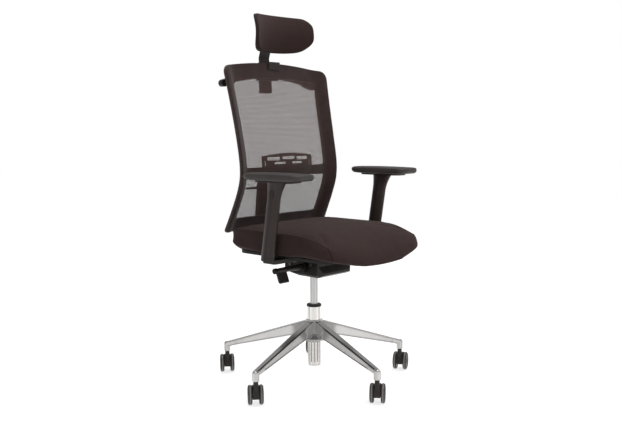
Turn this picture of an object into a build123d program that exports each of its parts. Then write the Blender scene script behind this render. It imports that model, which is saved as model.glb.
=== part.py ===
from build123d import *
import math
import os

# Swivel office chair with a mesh back, headrest, sliding arms and a five-leg caster base.
# Millimetres.  +Z is up, the sitter faces -Y and has +X on the left.
# The origin is on the floor, on the axis of the column.

# ---- driving dimensions ---------------------------------------------------------------

# fits and gaps
press_gap = 0.02            # pressed or screwed together, same body
running_gap = 0.05          # radial gap of a shaft that turns or slides in a bore
guide_gap = 0.3             # all-round gap of a plastic slide
clear_gap = 0.6             # parts that pass each other without touching

# casters
leg_count = 5
first_leg_angle = 44.4      # degrees from +X
stem_circle_radius = 331.0
wheel_radius = 32.5
wheel_width = 14.0
wheel_gap = 22.0            # between the two wheels of one caster
wheel_edge_round = 6.0
wheel_dish_depth = 2.5
wheel_rim = 8.0
caster_trail = 20.0
caster_stem_radius = 5.0
caster_neck_radius = caster_stem_radius + 3.0
caster_axle_radius = 4.0
caster_hood_floor = wheel_radius - caster_axle_radius - 2.5  # height of the hood's lower edge
caster_stem_foot = wheel_radius + 14.0  # lower end of the stem, inside the hood
wheel_boss_radius = caster_axle_radius + 5.0
rest_swivels = [31.5, 52.5, 50.4, 34.9, 27.0]  # free rest direction of each caster, degrees

# star base
boss_radius = caster_stem_radius + 6.5
boss_bottom = caster_stem_foot + 37.5
leg_tip_top = 117.5
leg_tip_height = 18.0
leg_tip_width = 22.0
leg_root_radius = 18.0
leg_root_top = 220.0
leg_root_height = 46.0
leg_root_width = 36.0
leg_pocket_depth = 2.5
leg_pocket_border = 4.5
leg_corner = 5.0
boss_dome = 8.0             # rounding of the leg's end over the caster stem
leg_nub_radius = 4.0
leg_nub_inset = 62.0        # from the stem towards the hub
hub_bottom = 160.0
hub_bottom_radius = 72.0
leg_pocket_start = hub_bottom_radius - 8.0
hub_edge = 5.0              # height of the upright edge of the hub's foot
hub_top = 222.0
hub_wall = 3.0              # round the column tube, at the top of the hub
hub_skirt_height = 15.0
hub_skirt_grooves = 12
hub_skirt_wall = 5.0
hub_groove_radius = 2.4

# column: outer tube, gas cylinder and piston rod
tube_radius = 25.0
hub_top_radius = tube_radius + hub_wall
tube_wall = 2.5
tube_foot_radius = 20.5
tube_foot = 58.0
tube_floor = 66.0
tube_floor_thickness = 3.0
tube_top = 268.0
collar_height = 8.0
collar_radius = tube_radius + 1.0
bushing_length = 44.0
cylinder_radius = 14.0
cylinder_wall = 2.0
cylinder_bottom = 166.0
cylinder_end = 6.0
cylinder_top = 414.0
cylinder_tip_radius = cylinder_radius - 1.0
rod_radius = 5.0
rod_end_drop = 6.0          # how far the rod passes below the tube floor
washer_thickness = 3.0
washer_radius = rod_radius + 7.0
rod_shoulder_height = 6.0
rod_shoulder_radius = rod_radius + 4.0
piston_bottom = 220.0
piston_height = 12.0
rod_neck_radius = rod_radius - 1.0  # in the groove for the clip
clip_thickness = 2.5
clip_radius = rod_radius + 3.5
clip_slot = 3.0
washer_bottom = tube_floor + tube_floor_thickness
shoulder_bottom = washer_bottom + washer_thickness

# tilt mechanism
housing_bottom = 386.0
housing_rear_rise = 15.0
housing_rear_drop = 18.0    # the top edge falls from housing_slope_y to the rear
housing_slope_y = -30.0
housing_top = 448.0
housing_half_width = 80.0
housing_corner = 8.0
housing_wall = 5.0
housing_front = -88.0
housing_rear = 62.0
socket_height = 24.0
socket_wall = 8.0
cover_depth = 20.0
seat_pivot_y = -62.0
seat_pivot_z = 430.0
back_pivot_y = 36.0
back_pivot_z = 424.0
pivot_pin_radius = 6.0
lever_y = -24.0
lever_z = 421.0
lever_boss_length = 12.0
lever_shaft_radius = 8.0
lever_boss_radius = lever_shaft_radius + 14.0
lever_grip_end = -206.0
lock_rod_radius = 4.0
lock_knob_radius = 9.5
lock_knob_length = 11.0
lock_rod_reach = 155.0      # of the rod inside the lever
paddle_width = 42.0
release_pin_radius = 4.0
release_pin_length = 21.5
release_pin_top = 427.0
release_travel = 5.0
spring_wire_radius = 2.0
spring_coil_radius = 10.0
spring_turns = 6
spring_pitch = 5.0

# seat
seat_width = 490.0
seat_front = -312.0
seat_rear = 184.0
cushion_top = 555.0
cushion_bottom = 478.0
cushion_lip_bottom = 451.0
cushion_corner_front = 85.0
cushion_corner_rear = 60.0
cushion_front_round = 86.0
cushion_rear_round = 26.0
cushion_lip_length = 54.0
pan_thickness = 10.0
pan_margin = 26.0
pan_bottom = cushion_bottom - pan_thickness
pan_front = seat_front + cushion_lip_length + clear_gap
lug_x = 40.0                # inner face of the pan's two pivot lugs
lug_thickness = 12.0
lug_half_length = 20.0
lug_radius = 14.0

# arms
arm_foot_y = -47.8
arm_foot_z = 480.0
arm_lean = 9.3              # degrees, top towards the front
sleeve_long = 54.0
sleeve_wide = 30.0
arm_gap = 6.0               # between the cushion and a sleeve
arm_x = seat_width / 2 + arm_gap + sleeve_wide / 2
sleeve_wall = 6.0
sleeve_length = 246.0
flare_start = 190.0
flare_long = 84.0
flare_wide = 50.0
collar_drop = 19.0
blade_length = 158.0
pad_length = 252.0
pad_width = 94.0
pad_thickness = 25.0
pad_centre_y = -96.0
pad_bottom = 723.5
pad_travel = 25.0
pad_plate_thickness = 4.5
pad_plate_length = 176.0
pad_plate_width = 62.0
pad_stud_radius = 4.0
pad_stud_offset = 45.0      # studs before and behind the middle of the pad
pad_corner = 26.0
pad_plate_corner = 24.0
button_height = 28.0
button_width = 20.0
button_depth = 8.0
button_stroke = 3.5         # room behind the button
button_above_flare = 14.0
button_proud = 2.0
bolt_radius = 4.0
bolt_head_radius = 7.0
bolt_head_height = 5.5
bolt_inset = 16.0           # first bolt from the inner end of the bracket
bolt_row_gap = 60.0
bolt_spread = 16.0
bracket_width = 60.0
bracket_thickness = 13.0
bracket_inner_x = housing_half_width + 6.0
bracket_corner = 12.0

# back
lumbar_height = 718.0       # height of the foremost line of the back
lumbar_edge_y = 98.7
lean_above = 12.9           # degrees, above the lumbar line
lean_below = 27.7           # degrees, below it
lumbar_softness = 61.0
wing_depth = 26.0           # side bands reach this far forward of the mesh
wing_x = 216.0
wing_softness = 9.0
bulge_depth = 15.0          # lumbar support pushes the mesh forward
bulge_height = 775.0
bulge_spread = 95.0
bulge_half = 187.0          # the bulge fades out this far from the middle
frame_thickness = 14.0
frame_top_middle = 1114.0
frame_top_corner = 1093.0
frame_bottom_corner = 535.0
frame_bottom_middle = 531.0
frame_half_top = 248.0
frame_half_waist = 235.0
frame_waist_z = 744.0
frame_half_bottom = 244.0
band_width = 37.0
top_band = 44.0
bottom_band = 44.0
crossbar_bottom = 719.0
crossbar_top = 754.0
crossbar_recess = 11.0
crossbar_back = 24.0
mesh_thickness = 1.2
window_corner = 9.0
frame_top_round = 26.0
frame_bottom_round = 12.0
window_crown = 14.0         # rise of the upper window's top edge at the middle

# upright and what it carries
upright_width = 46.0
upright_thickness = 15.0
upright_beam_thickness = 20.0
upright_lug_width = 14.0
upright_fork_half = 34.0
upright_fork_length = 46.0
upright_hub_radius = 15.0
peg_z = 672.0
peg_radius = 4.0
peg_length = 58.0
upright_rear_y = 262.0
upright_head_half = 70.0    # half width of the head that carries the frame's crossbar
upright_head_depth = 30.0
lumbar_panel_width = 246.0
lumbar_panel_height = 63.0
lumbar_panel_bottom = 737.0
lumbar_panel_thickness = 4.5
lumbar_gap = 6.0            # behind the mesh, at the middle
lumbar_panel_slope = 0.10   # rearward per unit of height
lumbar_panel_corner = 7.0
lumbar_slot_corner = 2.2
hanger_half_width = 220.0
hanger_tip_z = 1041.0
hanger_middle_z = 1070.0
hanger_thickness = 15.0
hanger_depth = 18.0
hanger_y = 211.0
hanger_tip_length = 64.0
hanger_tip_width = 24.0
post_width = 43.0
post_thickness = 10.0
post_bottom_z = 1028.0
post_y = 232.0              # at its lower end
post_lean = 3.4             # degrees
bracket_top_z = 1106.0
bracket_bottom_z = 1056.0
post_sleeve_wall = 2.5      # of the sleeve that hangs below the bracket round the post
post_sleeve_bottom = 1012.0
bracket_half_width = post_width / 2 + 9.5
clip_half_width = post_width / 2 + 5.0
clip_lip = 14.0             # how far the clip hangs down in front of the top rail
headrest_width = 276.0
headrest_bottom = 1151.0
headrest_top = 1282.0
headrest_end_drop = 7.0    # top edge at the tips, below the middle
headrest_end_rise = 8.0     # bottom edge at the tips, above the middle
headrest_thickness = 36.0
headrest_front_y = 168.0    # foremost point of the middle of the pad
headrest_tip_y = 118.0
headrest_tip_thickness = 14.0
headrest_hinge_y = 217.0
headrest_hinge_z = 1204.0
headrest_barrel_radius = 8.0
headrest_barrel_half = 12.0
headrest_pin_radius = 3.0
headrest_lug_thickness = 8.0
headrest_corner = 44.0

os.makedirs("parts", exist_ok=True)


def save(node, *solids):
    shape = solids[0] if len(solids) == 1 else Compound(children=list(solids))
    export_step(shape, f"parts/{node}.step")


def post(radius, low, high, x=0.0, y=0.0):
    """Upright cylinder between two heights."""
    return Pos(x, y, (low + high) / 2) * Cylinder(radius, high - low)


def bar_x(radius, left, right, y, z):
    """Cylinder along X between two X positions."""
    return Pos((left + right) / 2, y, z) * Rot(0, 90, 0) * Cylinder(radius, abs(right - left))


def block(x0, x1, y0, y1, z0, z1):
    centre = Pos((x0 + x1) / 2, (y0 + y1) / 2, (z0 + z1) / 2)
    return centre * Box(abs(x1 - x0), y1 - y0, z1 - z0)


def side_prism(points, x0, x1):
    """Closed outline given as (y, z), carried from x0 to x1."""
    face = make_face(Plane.YZ * Polyline(*points, close=True))
    return Pos(x0, 0, 0) * extrude(face, x1 - x0, dir=(1, 0, 0))


def turned(points):
    """Solid of revolution about Z from a closed (radius, z) outline."""
    return revolve(make_face(Plane.XZ * Polyline(*points, close=True)), Axis.Z)


# ---- star base ------------------------------------------------------------------------

def leg_section(distance, width, bottom, top, corner):
    plane = Plane(origin=(distance, 0, (bottom + top) / 2), x_dir=(0, 1, 0), z_dir=(1, 0, 0))
    return plane * RectangleRounded(width, top - bottom, corner)


def leg_side_pocket(side):
    """Long shallow hollow in one side of a leg, with a round end near the hub."""
    start = leg_pocket_start
    end = stem_circle_radius - 34.0
    span = stem_circle_radius - leg_root_radius
    top_slope = (leg_tip_top - leg_root_top) / span
    low_slope = (leg_tip_top - leg_tip_height - leg_root_top + leg_root_height) / span
    tops = [leg_root_top + top_slope * (r - leg_root_radius) - leg_pocket_border for r in (start, end)]
    root_low = leg_root_top - leg_root_height
    lows = [root_low + low_slope * (r - leg_root_radius) + leg_pocket_border for r in (start, end)]
    corners = [(start, lows[0]), (end, lows[1]), (end, tops[1]), (start, tops[0])]
    face = make_face(Plane.XZ * Polyline(*corners, close=True))
    inner_end = face.vertices().sort_by(Axis.X)[:2]
    face = fillet(inner_end, (tops[0] - lows[0]) * 0.4)
    taper = math.degrees(math.atan((leg_root_width - leg_tip_width) / 2 / span))
    depth = leg_root_width / 2 - leg_pocket_depth
    cutter = extrude(face, leg_root_width, dir=(0, side, 0))
    turn = Pos(leg_root_radius, 0, 0) * Rot(0, 0, -side * taper) * Pos(-leg_root_radius, 0, 0)
    return turn * Pos(0, side * depth, 0) * cutter


def leg():
    root_low = leg_root_top - leg_root_height
    tip_low = leg_tip_top - leg_tip_height
    arm = loft([
        leg_section(leg_root_radius, leg_root_width, root_low, leg_root_top, leg_corner),
        leg_section(stem_circle_radius, leg_tip_width, tip_low, leg_tip_top, leg_corner),
    ])
    for side in (-1, 1):
        arm -= leg_side_pocket(side)
    boss = post(boss_radius, boss_bottom, leg_tip_top + 0.5, stem_circle_radius)
    boss = fillet(boss.edges().group_by(Axis.Z)[-1], boss_dome)
    nub = post(leg_nub_radius, leg_tip_top - 2.0, leg_tip_top + 10.0, stem_circle_radius - leg_nub_inset)
    return arm + boss + nub


def tube_taper_radius(z):
    """Outer radius of the column tube where the hub grips it."""
    share = (z - hub_bottom) / (hub_top - hub_bottom)
    return tube_foot_radius + 1.0 + share * (tube_radius - tube_foot_radius - 1.5)


def star_base():
    flare = Spline((hub_top_radius - 1, hub_top - 10), (hub_bottom_radius, hub_bottom + hub_edge),
                   tangents=[(0.05, -1), (1, -0.6)])
    edges = [
        Line((0, hub_bottom), (hub_bottom_radius, hub_bottom)),
        Line((hub_bottom_radius, hub_bottom), (hub_bottom_radius, hub_bottom + hub_edge)),
        flare,
        Line((hub_top_radius - 1, hub_top - 10), (hub_top_radius, hub_top - 8)),
        Line((hub_top_radius, hub_top - 8), (hub_top_radius, hub_top)),
        Line((hub_top_radius, hub_top), (0, hub_top)),
        Line((0, hub_top), (0, hub_bottom)),
    ]
    body = revolve(Plane.XZ * make_face(edges), Axis.Z)
    body -= turned([
        (tube_foot_radius + hub_skirt_wall, hub_bottom - 1), (hub_bottom_radius - 6, hub_bottom - 1),
        (hub_bottom_radius - 6, hub_bottom + 2), (tube_foot_radius + hub_skirt_wall, hub_bottom + 16),
    ])
    groove_circle = tube_foot_radius + hub_skirt_wall
    skirt = post(groove_circle, hub_bottom - hub_skirt_height, hub_bottom)
    for index in range(hub_skirt_grooves):
        angle = math.radians(360 / hub_skirt_grooves * index)
        skirt -= post(hub_groove_radius, hub_bottom - hub_skirt_height, hub_bottom - 4,
                      groove_circle * math.cos(angle), groove_circle * math.sin(angle))
    body += skirt
    for index in range(leg_count):
        body += Rot(0, 0, first_leg_angle + 360 / leg_count * index) * leg()
    bore_low = hub_bottom - hub_skirt_height
    body -= turned([
        (0, bore_low - 1), (tube_foot_radius + 1 + press_gap, bore_low - 1),
        (tube_taper_radius(hub_bottom) + press_gap, hub_bottom),
        (tube_taper_radius(hub_top) + press_gap, hub_top),
        (tube_taper_radius(hub_top) + press_gap, hub_top + 1),
        (0, hub_top + 1),
    ])
    for index in range(leg_count):
        place = Rot(0, 0, first_leg_angle + 360 / leg_count * index)
        bore_top = leg_tip_top - 6.0
        bore = post(caster_stem_radius + running_gap, boss_bottom - 1, bore_top, stem_circle_radius)
        body -= place * bore
    return body


# ---- casters --------------------------------------------------------------------------

def caster_hood():
    half = wheel_gap / 2 - guide_gap
    drum = Pos(caster_trail, 0, wheel_radius) * Rot(90, 0, 0) * Cylinder(wheel_radius - 0.5, 2 * half)
    low = block(-wheel_radius, caster_trail + wheel_radius + 1, -half, half, -1, caster_hood_floor)
    neck = post(caster_neck_radius, wheel_radius, boss_bottom - 1.0)
    hood = drum - low + neck
    hood -= caster_axle_solid(press_gap)
    hood -= post(caster_stem_radius + press_gap, caster_stem_foot, boss_bottom)
    return hood


def caster_axle_solid(extra=0.0):
    reach = wheel_gap / 2 + wheel_width - wheel_dish_depth - 3.0
    rod = Cylinder(caster_axle_radius + extra, 2 * reach)
    return Pos(caster_trail, 0, wheel_radius) * Rot(90, 0, 0) * rod


def caster_stem():
    return post(caster_stem_radius, caster_stem_foot, leg_tip_top - 8.0)


def caster_wheel(side):
    outer = wheel_gap / 2 + wheel_width
    inner = wheel_gap / 2
    disc = Cylinder(wheel_radius, wheel_width)
    disc = fillet(disc.edges().filter_by(GeomType.CIRCLE), wheel_edge_round)
    dish_radius = wheel_radius - wheel_rim
    dish = Pos(0, 0, wheel_width / 2) * Cylinder(dish_radius, 2 * wheel_dish_depth)
    boss = Pos(0, 0, wheel_width / 2 - wheel_dish_depth / 2) * Cylinder(wheel_boss_radius, wheel_dish_depth)
    disc = disc - dish + boss
    middle = Pos(caster_trail, side * (outer + inner) / 2, wheel_radius)
    wheel = middle * Rot(-90 * side, 0, 0) * disc
    return wheel - caster_axle_solid(running_gap)


def casters():
    for index in range(leg_count):
        leg_angle = first_leg_angle + 360 / leg_count * index
        x = stem_circle_radius * math.cos(math.radians(leg_angle))
        y = stem_circle_radius * math.sin(math.radians(leg_angle))
        place = Pos(x, y, 0) * Rot(0, 0, rest_swivels[index])
        name = f"caster_{index + 1}"
        save(f"{name}_hood", place * caster_hood())
        save(f"{name}_stem", place * caster_stem())
        save(f"{name}_axle", place * caster_axle_solid())
        save(f"{name}_wheel_left", place * caster_wheel(1))
        save(f"{name}_wheel_right", place * caster_wheel(-1))


# ---- column ---------------------------------------------------------------------------

def column_tube():
    foot_inner = tube_foot_radius - tube_wall
    top_inner = tube_radius - tube_wall
    outer = [
        (tube_foot_radius, tube_foot), (tube_foot_radius, hub_bottom - hub_skirt_height),
        (tube_foot_radius + 1, hub_bottom - hub_skirt_height),
        (tube_taper_radius(hub_bottom), hub_bottom), (tube_taper_radius(hub_top), hub_top),
        (tube_radius, hub_top + press_gap), (tube_radius, tube_top),
    ]
    inner = [
        (top_inner, tube_top), (top_inner, hub_top), (foot_inner, hub_bottom),
        (foot_inner, washer_bottom), (rod_radius + clear_gap, washer_bottom),
        (rod_radius + clear_gap, tube_floor), (foot_inner, tube_floor), (foot_inner, tube_foot),
    ]
    return turned(outer + inner)


def column_bushing():
    bore = cylinder_radius + running_gap
    fit = tube_radius - tube_wall - press_gap
    return turned([
        (bore, tube_top - bushing_length), (fit, tube_top - bushing_length), (fit, tube_top),
        (collar_radius, tube_top), (collar_radius, tube_top + collar_height - 2),
        (collar_radius - 2, tube_top + collar_height), (bore, tube_top + collar_height),
    ])


def thrust_washer():
    ring = post(washer_radius, washer_bottom, shoulder_bottom)
    return ring - post(rod_radius + clear_gap, washer_bottom - 1, shoulder_bottom + 1)


def piston_rod():
    rod = post(rod_radius, tube_floor - rod_end_drop, piston_bottom + 1)
    rod += post(rod_shoulder_radius, shoulder_bottom, shoulder_bottom + rod_shoulder_height)
    rod += post(cylinder_radius - cylinder_wall - running_gap, piston_bottom, piston_bottom + piston_height)
    groove = post(rod_radius + 1, tube_floor - clip_thickness - running_gap, tube_floor - running_gap)
    return rod - (groove - post(rod_neck_radius, tube_floor - rod_end_drop, tube_floor))


def rod_clip():
    clip = post(clip_radius, tube_floor - clip_thickness - running_gap, tube_floor - running_gap)
    clip -= post(rod_neck_radius + press_gap, tube_floor - rod_end_drop, tube_floor)
    half = clip_slot / 2
    return clip - block(-half, half, 0, clip_radius + 1, tube_floor - rod_end_drop, tube_floor)


def gas_cylinder():
    bore = cylinder_radius - cylinder_wall
    socket_low = housing_bottom + 2.0
    pin_hole_floor = release_pin_top - release_pin_length - release_travel - 1.0
    body = turned([
        (rod_radius + running_gap, cylinder_bottom), (cylinder_radius, cylinder_bottom),
        (cylinder_radius, socket_low), (cylinder_tip_radius, cylinder_top), (0, cylinder_top),
        (0, pin_hole_floor - 4), (bore, pin_hole_floor - 4),
        (bore, cylinder_bottom + cylinder_end), (rod_radius + running_gap, cylinder_bottom + cylinder_end),
    ])
    return body - post(release_pin_radius + running_gap, pin_hole_floor, cylinder_top + 1)


def release_pin():
    return post(release_pin_radius, release_pin_top - release_pin_length, release_pin_top)


# ---- tilt mechanism -------------------------------------------------------------------

def cross_section_prism(half_width, bottom, y0, y1):
    """Trough section with bevelled lower corners, carried along Y."""
    cut = housing_corner
    points = [(-half_width, housing_top + 20), (-half_width, bottom + cut), (cut - half_width, bottom),
              (half_width - cut, bottom), (half_width, bottom + cut), (half_width, housing_top + 20)]
    face = make_face(Plane.XZ * Polyline(*points, close=True))
    return Pos(0, y0, 0) * extrude(face, y1 - y0, dir=(0, 1, 0))


def mechanism_housing():
    wall = housing_wall
    rise = housing_rear_rise
    outer = side_prism([
        (housing_front, housing_top), (housing_front, housing_bottom), (0, housing_bottom),
        (housing_rear, housing_bottom + rise), (housing_rear, housing_top - housing_rear_drop),
        (housing_slope_y, housing_top),
    ], -housing_half_width, housing_half_width)
    outer &= cross_section_prism(housing_half_width, housing_bottom, housing_front, housing_rear)
    hollow = side_prism([
        (housing_front + wall, housing_top + 5), (housing_front + wall, housing_bottom + wall),
        (0, housing_bottom + wall), (housing_rear + 1, housing_bottom + rise + wall),
        (housing_rear + 1, housing_top + 5),
    ], -housing_half_width, housing_half_width)
    hollow &= cross_section_prism(housing_half_width - wall, housing_bottom + wall,
                                  housing_front, housing_rear + 2)
    floor_half = upright_fork_half + 8.0
    floor_opening = block(-floor_half, floor_half, back_pivot_y + 9, housing_rear + 1,
                          housing_bottom, back_pivot_z)
    body = outer - hollow - floor_opening
    body += post(cylinder_radius + socket_wall, housing_bottom, housing_bottom + socket_height)
    body += bar_x(lever_boss_radius, -housing_half_width - lever_boss_length, -housing_half_width + wall,
                  lever_y, lever_z)
    body -= bar_x(lever_shaft_radius + running_gap, -housing_half_width - lever_boss_length - 1, 0,
                  lever_y, lever_z)
    body -= turned([
        (0, housing_bottom - 1), (cylinder_radius + press_gap, housing_bottom - 1),
        (cylinder_radius + press_gap, housing_bottom + 2),
        (cylinder_tip_radius + press_gap, cylinder_top), (0, cylinder_top),
    ])
    for y, z in ((seat_pivot_y, seat_pivot_z), (back_pivot_y, back_pivot_z)):
        body -= bar_x(pivot_pin_radius + press_gap, -housing_half_width - 1, housing_half_width + 1, y, z)
    return body


def mechanism_front_cover():
    """Nose of the mechanism, with a sloping panel and rounded upright corners."""
    front = housing_front - cover_depth
    shell = side_prism([
        (housing_front, housing_top - 2), (housing_front, housing_bottom), (front, housing_bottom + 9),
        (front, housing_bottom + 17), (front + 12, housing_bottom + 40), (front + 12, housing_top - 2),
    ], -housing_half_width, housing_half_width)
    shell &= cross_section_prism(housing_half_width, housing_bottom, front, housing_front)
    plan = make_face(Polyline((-housing_half_width, housing_front), (-housing_half_width, front),
                              (housing_half_width, front), (housing_half_width, housing_front), close=True))
    plan = fillet(plan.vertices().group_by(Axis.Y)[0], cover_depth - 2)
    return shell & (Pos(0, 0, housing_bottom) * extrude(plan, 100.0, dir=(0, 0, 1)))


def pivot_pins():
    reach = housing_half_width + 3.0
    return [bar_x(pivot_pin_radius, -reach, reach, y, z)
            for y, z in ((seat_pivot_y, seat_pivot_z), (back_pivot_y, back_pivot_z))]


def tilt_spring():
    length = spring_pitch * spring_turns
    path = Helix(pitch=spring_pitch, height=length, radius=spring_coil_radius)
    section = Plane(origin=path @ 0, z_dir=path % 0) * Circle(spring_wire_radius)
    coil = sweep(section, path=path, is_frenet=True)
    return Pos(-length / 2, back_pivot_y, back_pivot_z) * Rot(0, 90, 0) * coil


def height_lever():
    grip_start = -housing_half_width - lever_boss_length - guide_gap
    shaft = bar_x(lever_shaft_radius, grip_start, 9.0, lever_y, lever_z)
    grip_length = grip_start - lever_grip_end
    grip = Pos((grip_start + lever_grip_end) / 2, lever_y, lever_z) * Rot(0, 90, 0)
    grip = grip * Cone(8.0, 10.5, grip_length)
    finger = side_prism([
        (lever_y, release_pin_top + guide_gap), (6.0, release_pin_top + guide_gap),
        (6.0, release_pin_top + 5), (lever_y + 4, release_pin_top + 6), (lever_y, release_pin_top + 2),
    ], -6.0, 6.0)
    paddle = side_prism([
        (lever_y + 6, lever_z - 4), (lever_y - 8, lever_z - 39), (lever_y - 15, lever_z - 41),
        (lever_y - 16, lever_z - 37), (lever_y - 3, lever_z - 5),
    ], lever_grip_end + 2, lever_grip_end + 2 + paddle_width)
    lever = shaft + grip + finger + paddle
    bore_end = lever_grip_end + lock_rod_reach + 21.0
    return lever - bar_x(lock_rod_radius + running_gap, lever_grip_end - 1, bore_end, lever_y, lever_z)


def tilt_lock_rod():
    knob_right = lever_grip_end - guide_gap
    rod = bar_x(lock_rod_radius, knob_right - 1, lever_grip_end + lock_rod_reach + 6.0, lever_y, lever_z)
    knob = bar_x(lock_knob_radius, knob_right - lock_knob_length, knob_right, lever_y, lever_z)
    knob = fillet(knob.edges().sort_by(Axis.X)[0], 2.5)
    return rod + knob


# ---- seat -----------------------------------------------------------------------------

def seat_outline(margin=0.0):
    """Plan of the cushion, drawn in the XY plane."""
    half = seat_width / 2 - margin
    face = make_face(Polyline((-half, seat_front + margin), (half, seat_front + margin),
                              (half, seat_rear - margin), (-half, seat_rear - margin), close=True))
    corners = face.vertices().group_by(Axis.Y)
    face = fillet(corners[0], cushion_corner_front - margin / 2)
    return fillet(face.vertices().group_by(Axis.Y)[-1], cushion_corner_rear - margin / 2)


def seat_cushion():
    lip_rear = seat_front + cushion_lip_length
    side = make_face(Plane.YZ * Polyline(
        (seat_rear, cushion_bottom), (seat_rear, cushion_top), (seat_front, cushion_top),
        (seat_front, cushion_lip_bottom), (lip_rear, cushion_lip_bottom), (lip_rear, cushion_bottom),
        close=True))
    top_front = side.vertices().group_by(Axis.Y)[0].sort_by(Axis.Z)[-1]
    side = fillet(top_front, cushion_front_round)
    top_rear = side.vertices().sort_by(Axis.Y)[-2:].sort_by(Axis.Z)[-1]
    side = fillet(top_rear, cushion_rear_round)
    solid = Pos(-seat_width / 2, 0, 0) * extrude(side, seat_width, dir=(1, 0, 0))
    solid &= Pos(0, 0, cushion_lip_bottom) * extrude(seat_outline(), 200.0, dir=(0, 0, 1))
    return solid


def seat_pan():
    plan = extrude(seat_outline(pan_margin), pan_thickness, dir=(0, 0, 1))
    pan = Pos(0, 0, pan_bottom) * plan
    pan -= block(-seat_width, seat_width, seat_front - 1, pan_front, pan_bottom - 1, cushion_bottom + 1)
    for side in (-1, 1):
        x0, x1 = side * lug_x, side * (lug_x + lug_thickness)
        pan += block(x0, x1, seat_pivot_y - lug_half_length, seat_pivot_y + lug_half_length,
                     seat_pivot_z, pan_bottom)
        pan += bar_x(lug_radius, x0, x1, seat_pivot_y, seat_pivot_z)
    pan -= bar_x(pivot_pin_radius + running_gap, -seat_width, seat_width, seat_pivot_y, seat_pivot_z)
    for x, y in bolt_places():
        pan -= post(bolt_radius + press_gap, pan_bottom - 1, cushion_bottom - 2, x, y)
    return pan


# ---- arms -----------------------------------------------------------------------------

def bolt_places():
    inner = bracket_inner_x + bolt_inset
    outer = inner + bolt_row_gap
    return [(side * x, arm_foot_y + dy) for side in (-1, 1)
            for x, dy in ((inner, 0.0), (outer, -bolt_spread), (outer, bolt_spread))]


def arm_frame(side):
    """Local frame of an arm: origin on top of the foot collar, Z up the leaning post."""
    return Pos(side * arm_x, arm_foot_y, arm_foot_z) * Rot(arm_lean, 0, 0)


def oval_post(long, wide, low, high):
    return Pos(0, 0, low) * extrude(Ellipse(wide / 2, long / 2), high - low)


def arm_bracket(side):
    collar = oval_post(sleeve_long, sleeve_wide, -collar_drop, 0)
    collar = fillet(collar.edges().group_by(Axis.Z)[0], 3.0)
    skin = 2 * (sleeve_wall + guide_gap)
    blade = oval_post(sleeve_long - skin, sleeve_wide - skin, -1.0, blade_length)
    foot = arm_frame(side) * (collar + blade)
    half = bracket_width / 2
    beam = block(side * bracket_inner_x, side * arm_x, arm_foot_y - half, arm_foot_y + half,
                 pan_bottom - bracket_thickness, pan_bottom)
    beam = fillet(beam.edges().filter_by(Axis.Z), bracket_corner)
    above_collar = arm_frame(side) * oval_post(2 * sleeve_long, 2 * sleeve_wide, -0.01, blade_length)
    bracket = foot + (beam - above_collar)
    for x, y in bolt_places():
        bracket -= post(bolt_radius + press_gap, pan_bottom - bracket_thickness - 1, pan_bottom + 1,
                        x, y)
    return bracket


def arm_bolts():
    bolts = []
    for x, y in bolt_places():
        head_top = pan_bottom - bracket_thickness
        bolts.append(post(bolt_radius, head_top - 1, cushion_bottom - 3, x, y)
                     + post(bolt_head_radius, head_top - bolt_head_height, head_top, x, y))
    return bolts


def button_place(side):
    button_z = flare_start + button_above_flare
    return arm_frame(side) * Pos(side * sleeve_wide / 2, -1.0, button_z) * Rot(0, 90 * side, 0)


def arm_sleeve(side):
    shaft = oval_post(sleeve_long, sleeve_wide, guide_gap, flare_start)
    flare = loft([
        Pos(0, 0, flare_start) * Ellipse(sleeve_wide / 2, sleeve_long / 2),
        Pos(0, -1, flare_start + 26) * Ellipse(sleeve_wide / 2 + 1.5, sleeve_long / 2 + 3),
        Pos(0, -5, sleeve_length + 8) * Ellipse(flare_wide / 2, flare_long / 2),
    ])
    hollow = oval_post(sleeve_long - 2 * sleeve_wall, sleeve_wide - 2 * sleeve_wall, -1, blade_length + 6)
    sleeve = arm_frame(side) * (shaft + flare - hollow)
    plate_bottom = pad_bottom - guide_gap - pad_plate_thickness
    sleeve -= block(side * arm_x - 100, side * arm_x + 100, -300, 200, plate_bottom, plate_bottom + 60)
    pocket = Ellipse(button_height / 2 + guide_gap, button_width / 2 + guide_gap)
    return sleeve - button_place(side) * Pos(0, 0, -button_depth) * extrude(pocket, 30.0)


def arm_button(side):
    plan = Ellipse(button_height / 2, button_width / 2)
    body = extrude(plan, button_depth - button_stroke + button_proud)
    body = fillet(body.edges().group_by(Axis.Z)[-1], 1.2)
    return button_place(side) * Pos(0, 0, -button_depth + button_stroke) * body


def arm_pad_plate(side):
    top = pad_bottom - guide_gap
    plan = RectangleRounded(pad_plate_width, pad_plate_length, pad_plate_corner)
    plate = Pos(side * arm_x, pad_centre_y, top - pad_plate_thickness) * extrude(plan, pad_plate_thickness)
    for dy in (-pad_stud_offset, pad_stud_offset):
        plate += post(pad_stud_radius, top - 1, top + 6, side * arm_x, pad_centre_y + dy)
    return plate


def arm_pad(side):
    pad = extrude(RectangleRounded(pad_width, pad_length, pad_corner), pad_thickness)
    pad = fillet(pad.edges().group_by(Axis.Z)[-1], 9.0)
    pad = fillet(pad.edges().group_by(Axis.Z)[0], 5.0)
    pad = Pos(side * arm_x, pad_centre_y, pad_bottom) * pad
    slot_length = 2 * (pad_travel + pad_stud_radius + guide_gap)
    slot = extrude(SlotOverall(slot_length, 2 * (pad_stud_radius + guide_gap), rotation=90), 8.0)
    for dy in (-pad_stud_offset, pad_stud_offset):
        pad -= Pos(side * arm_x, pad_centre_y + dy, pad_bottom - 0.5) * slot
    return pad


# ---- back -----------------------------------------------------------------------------

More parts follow.
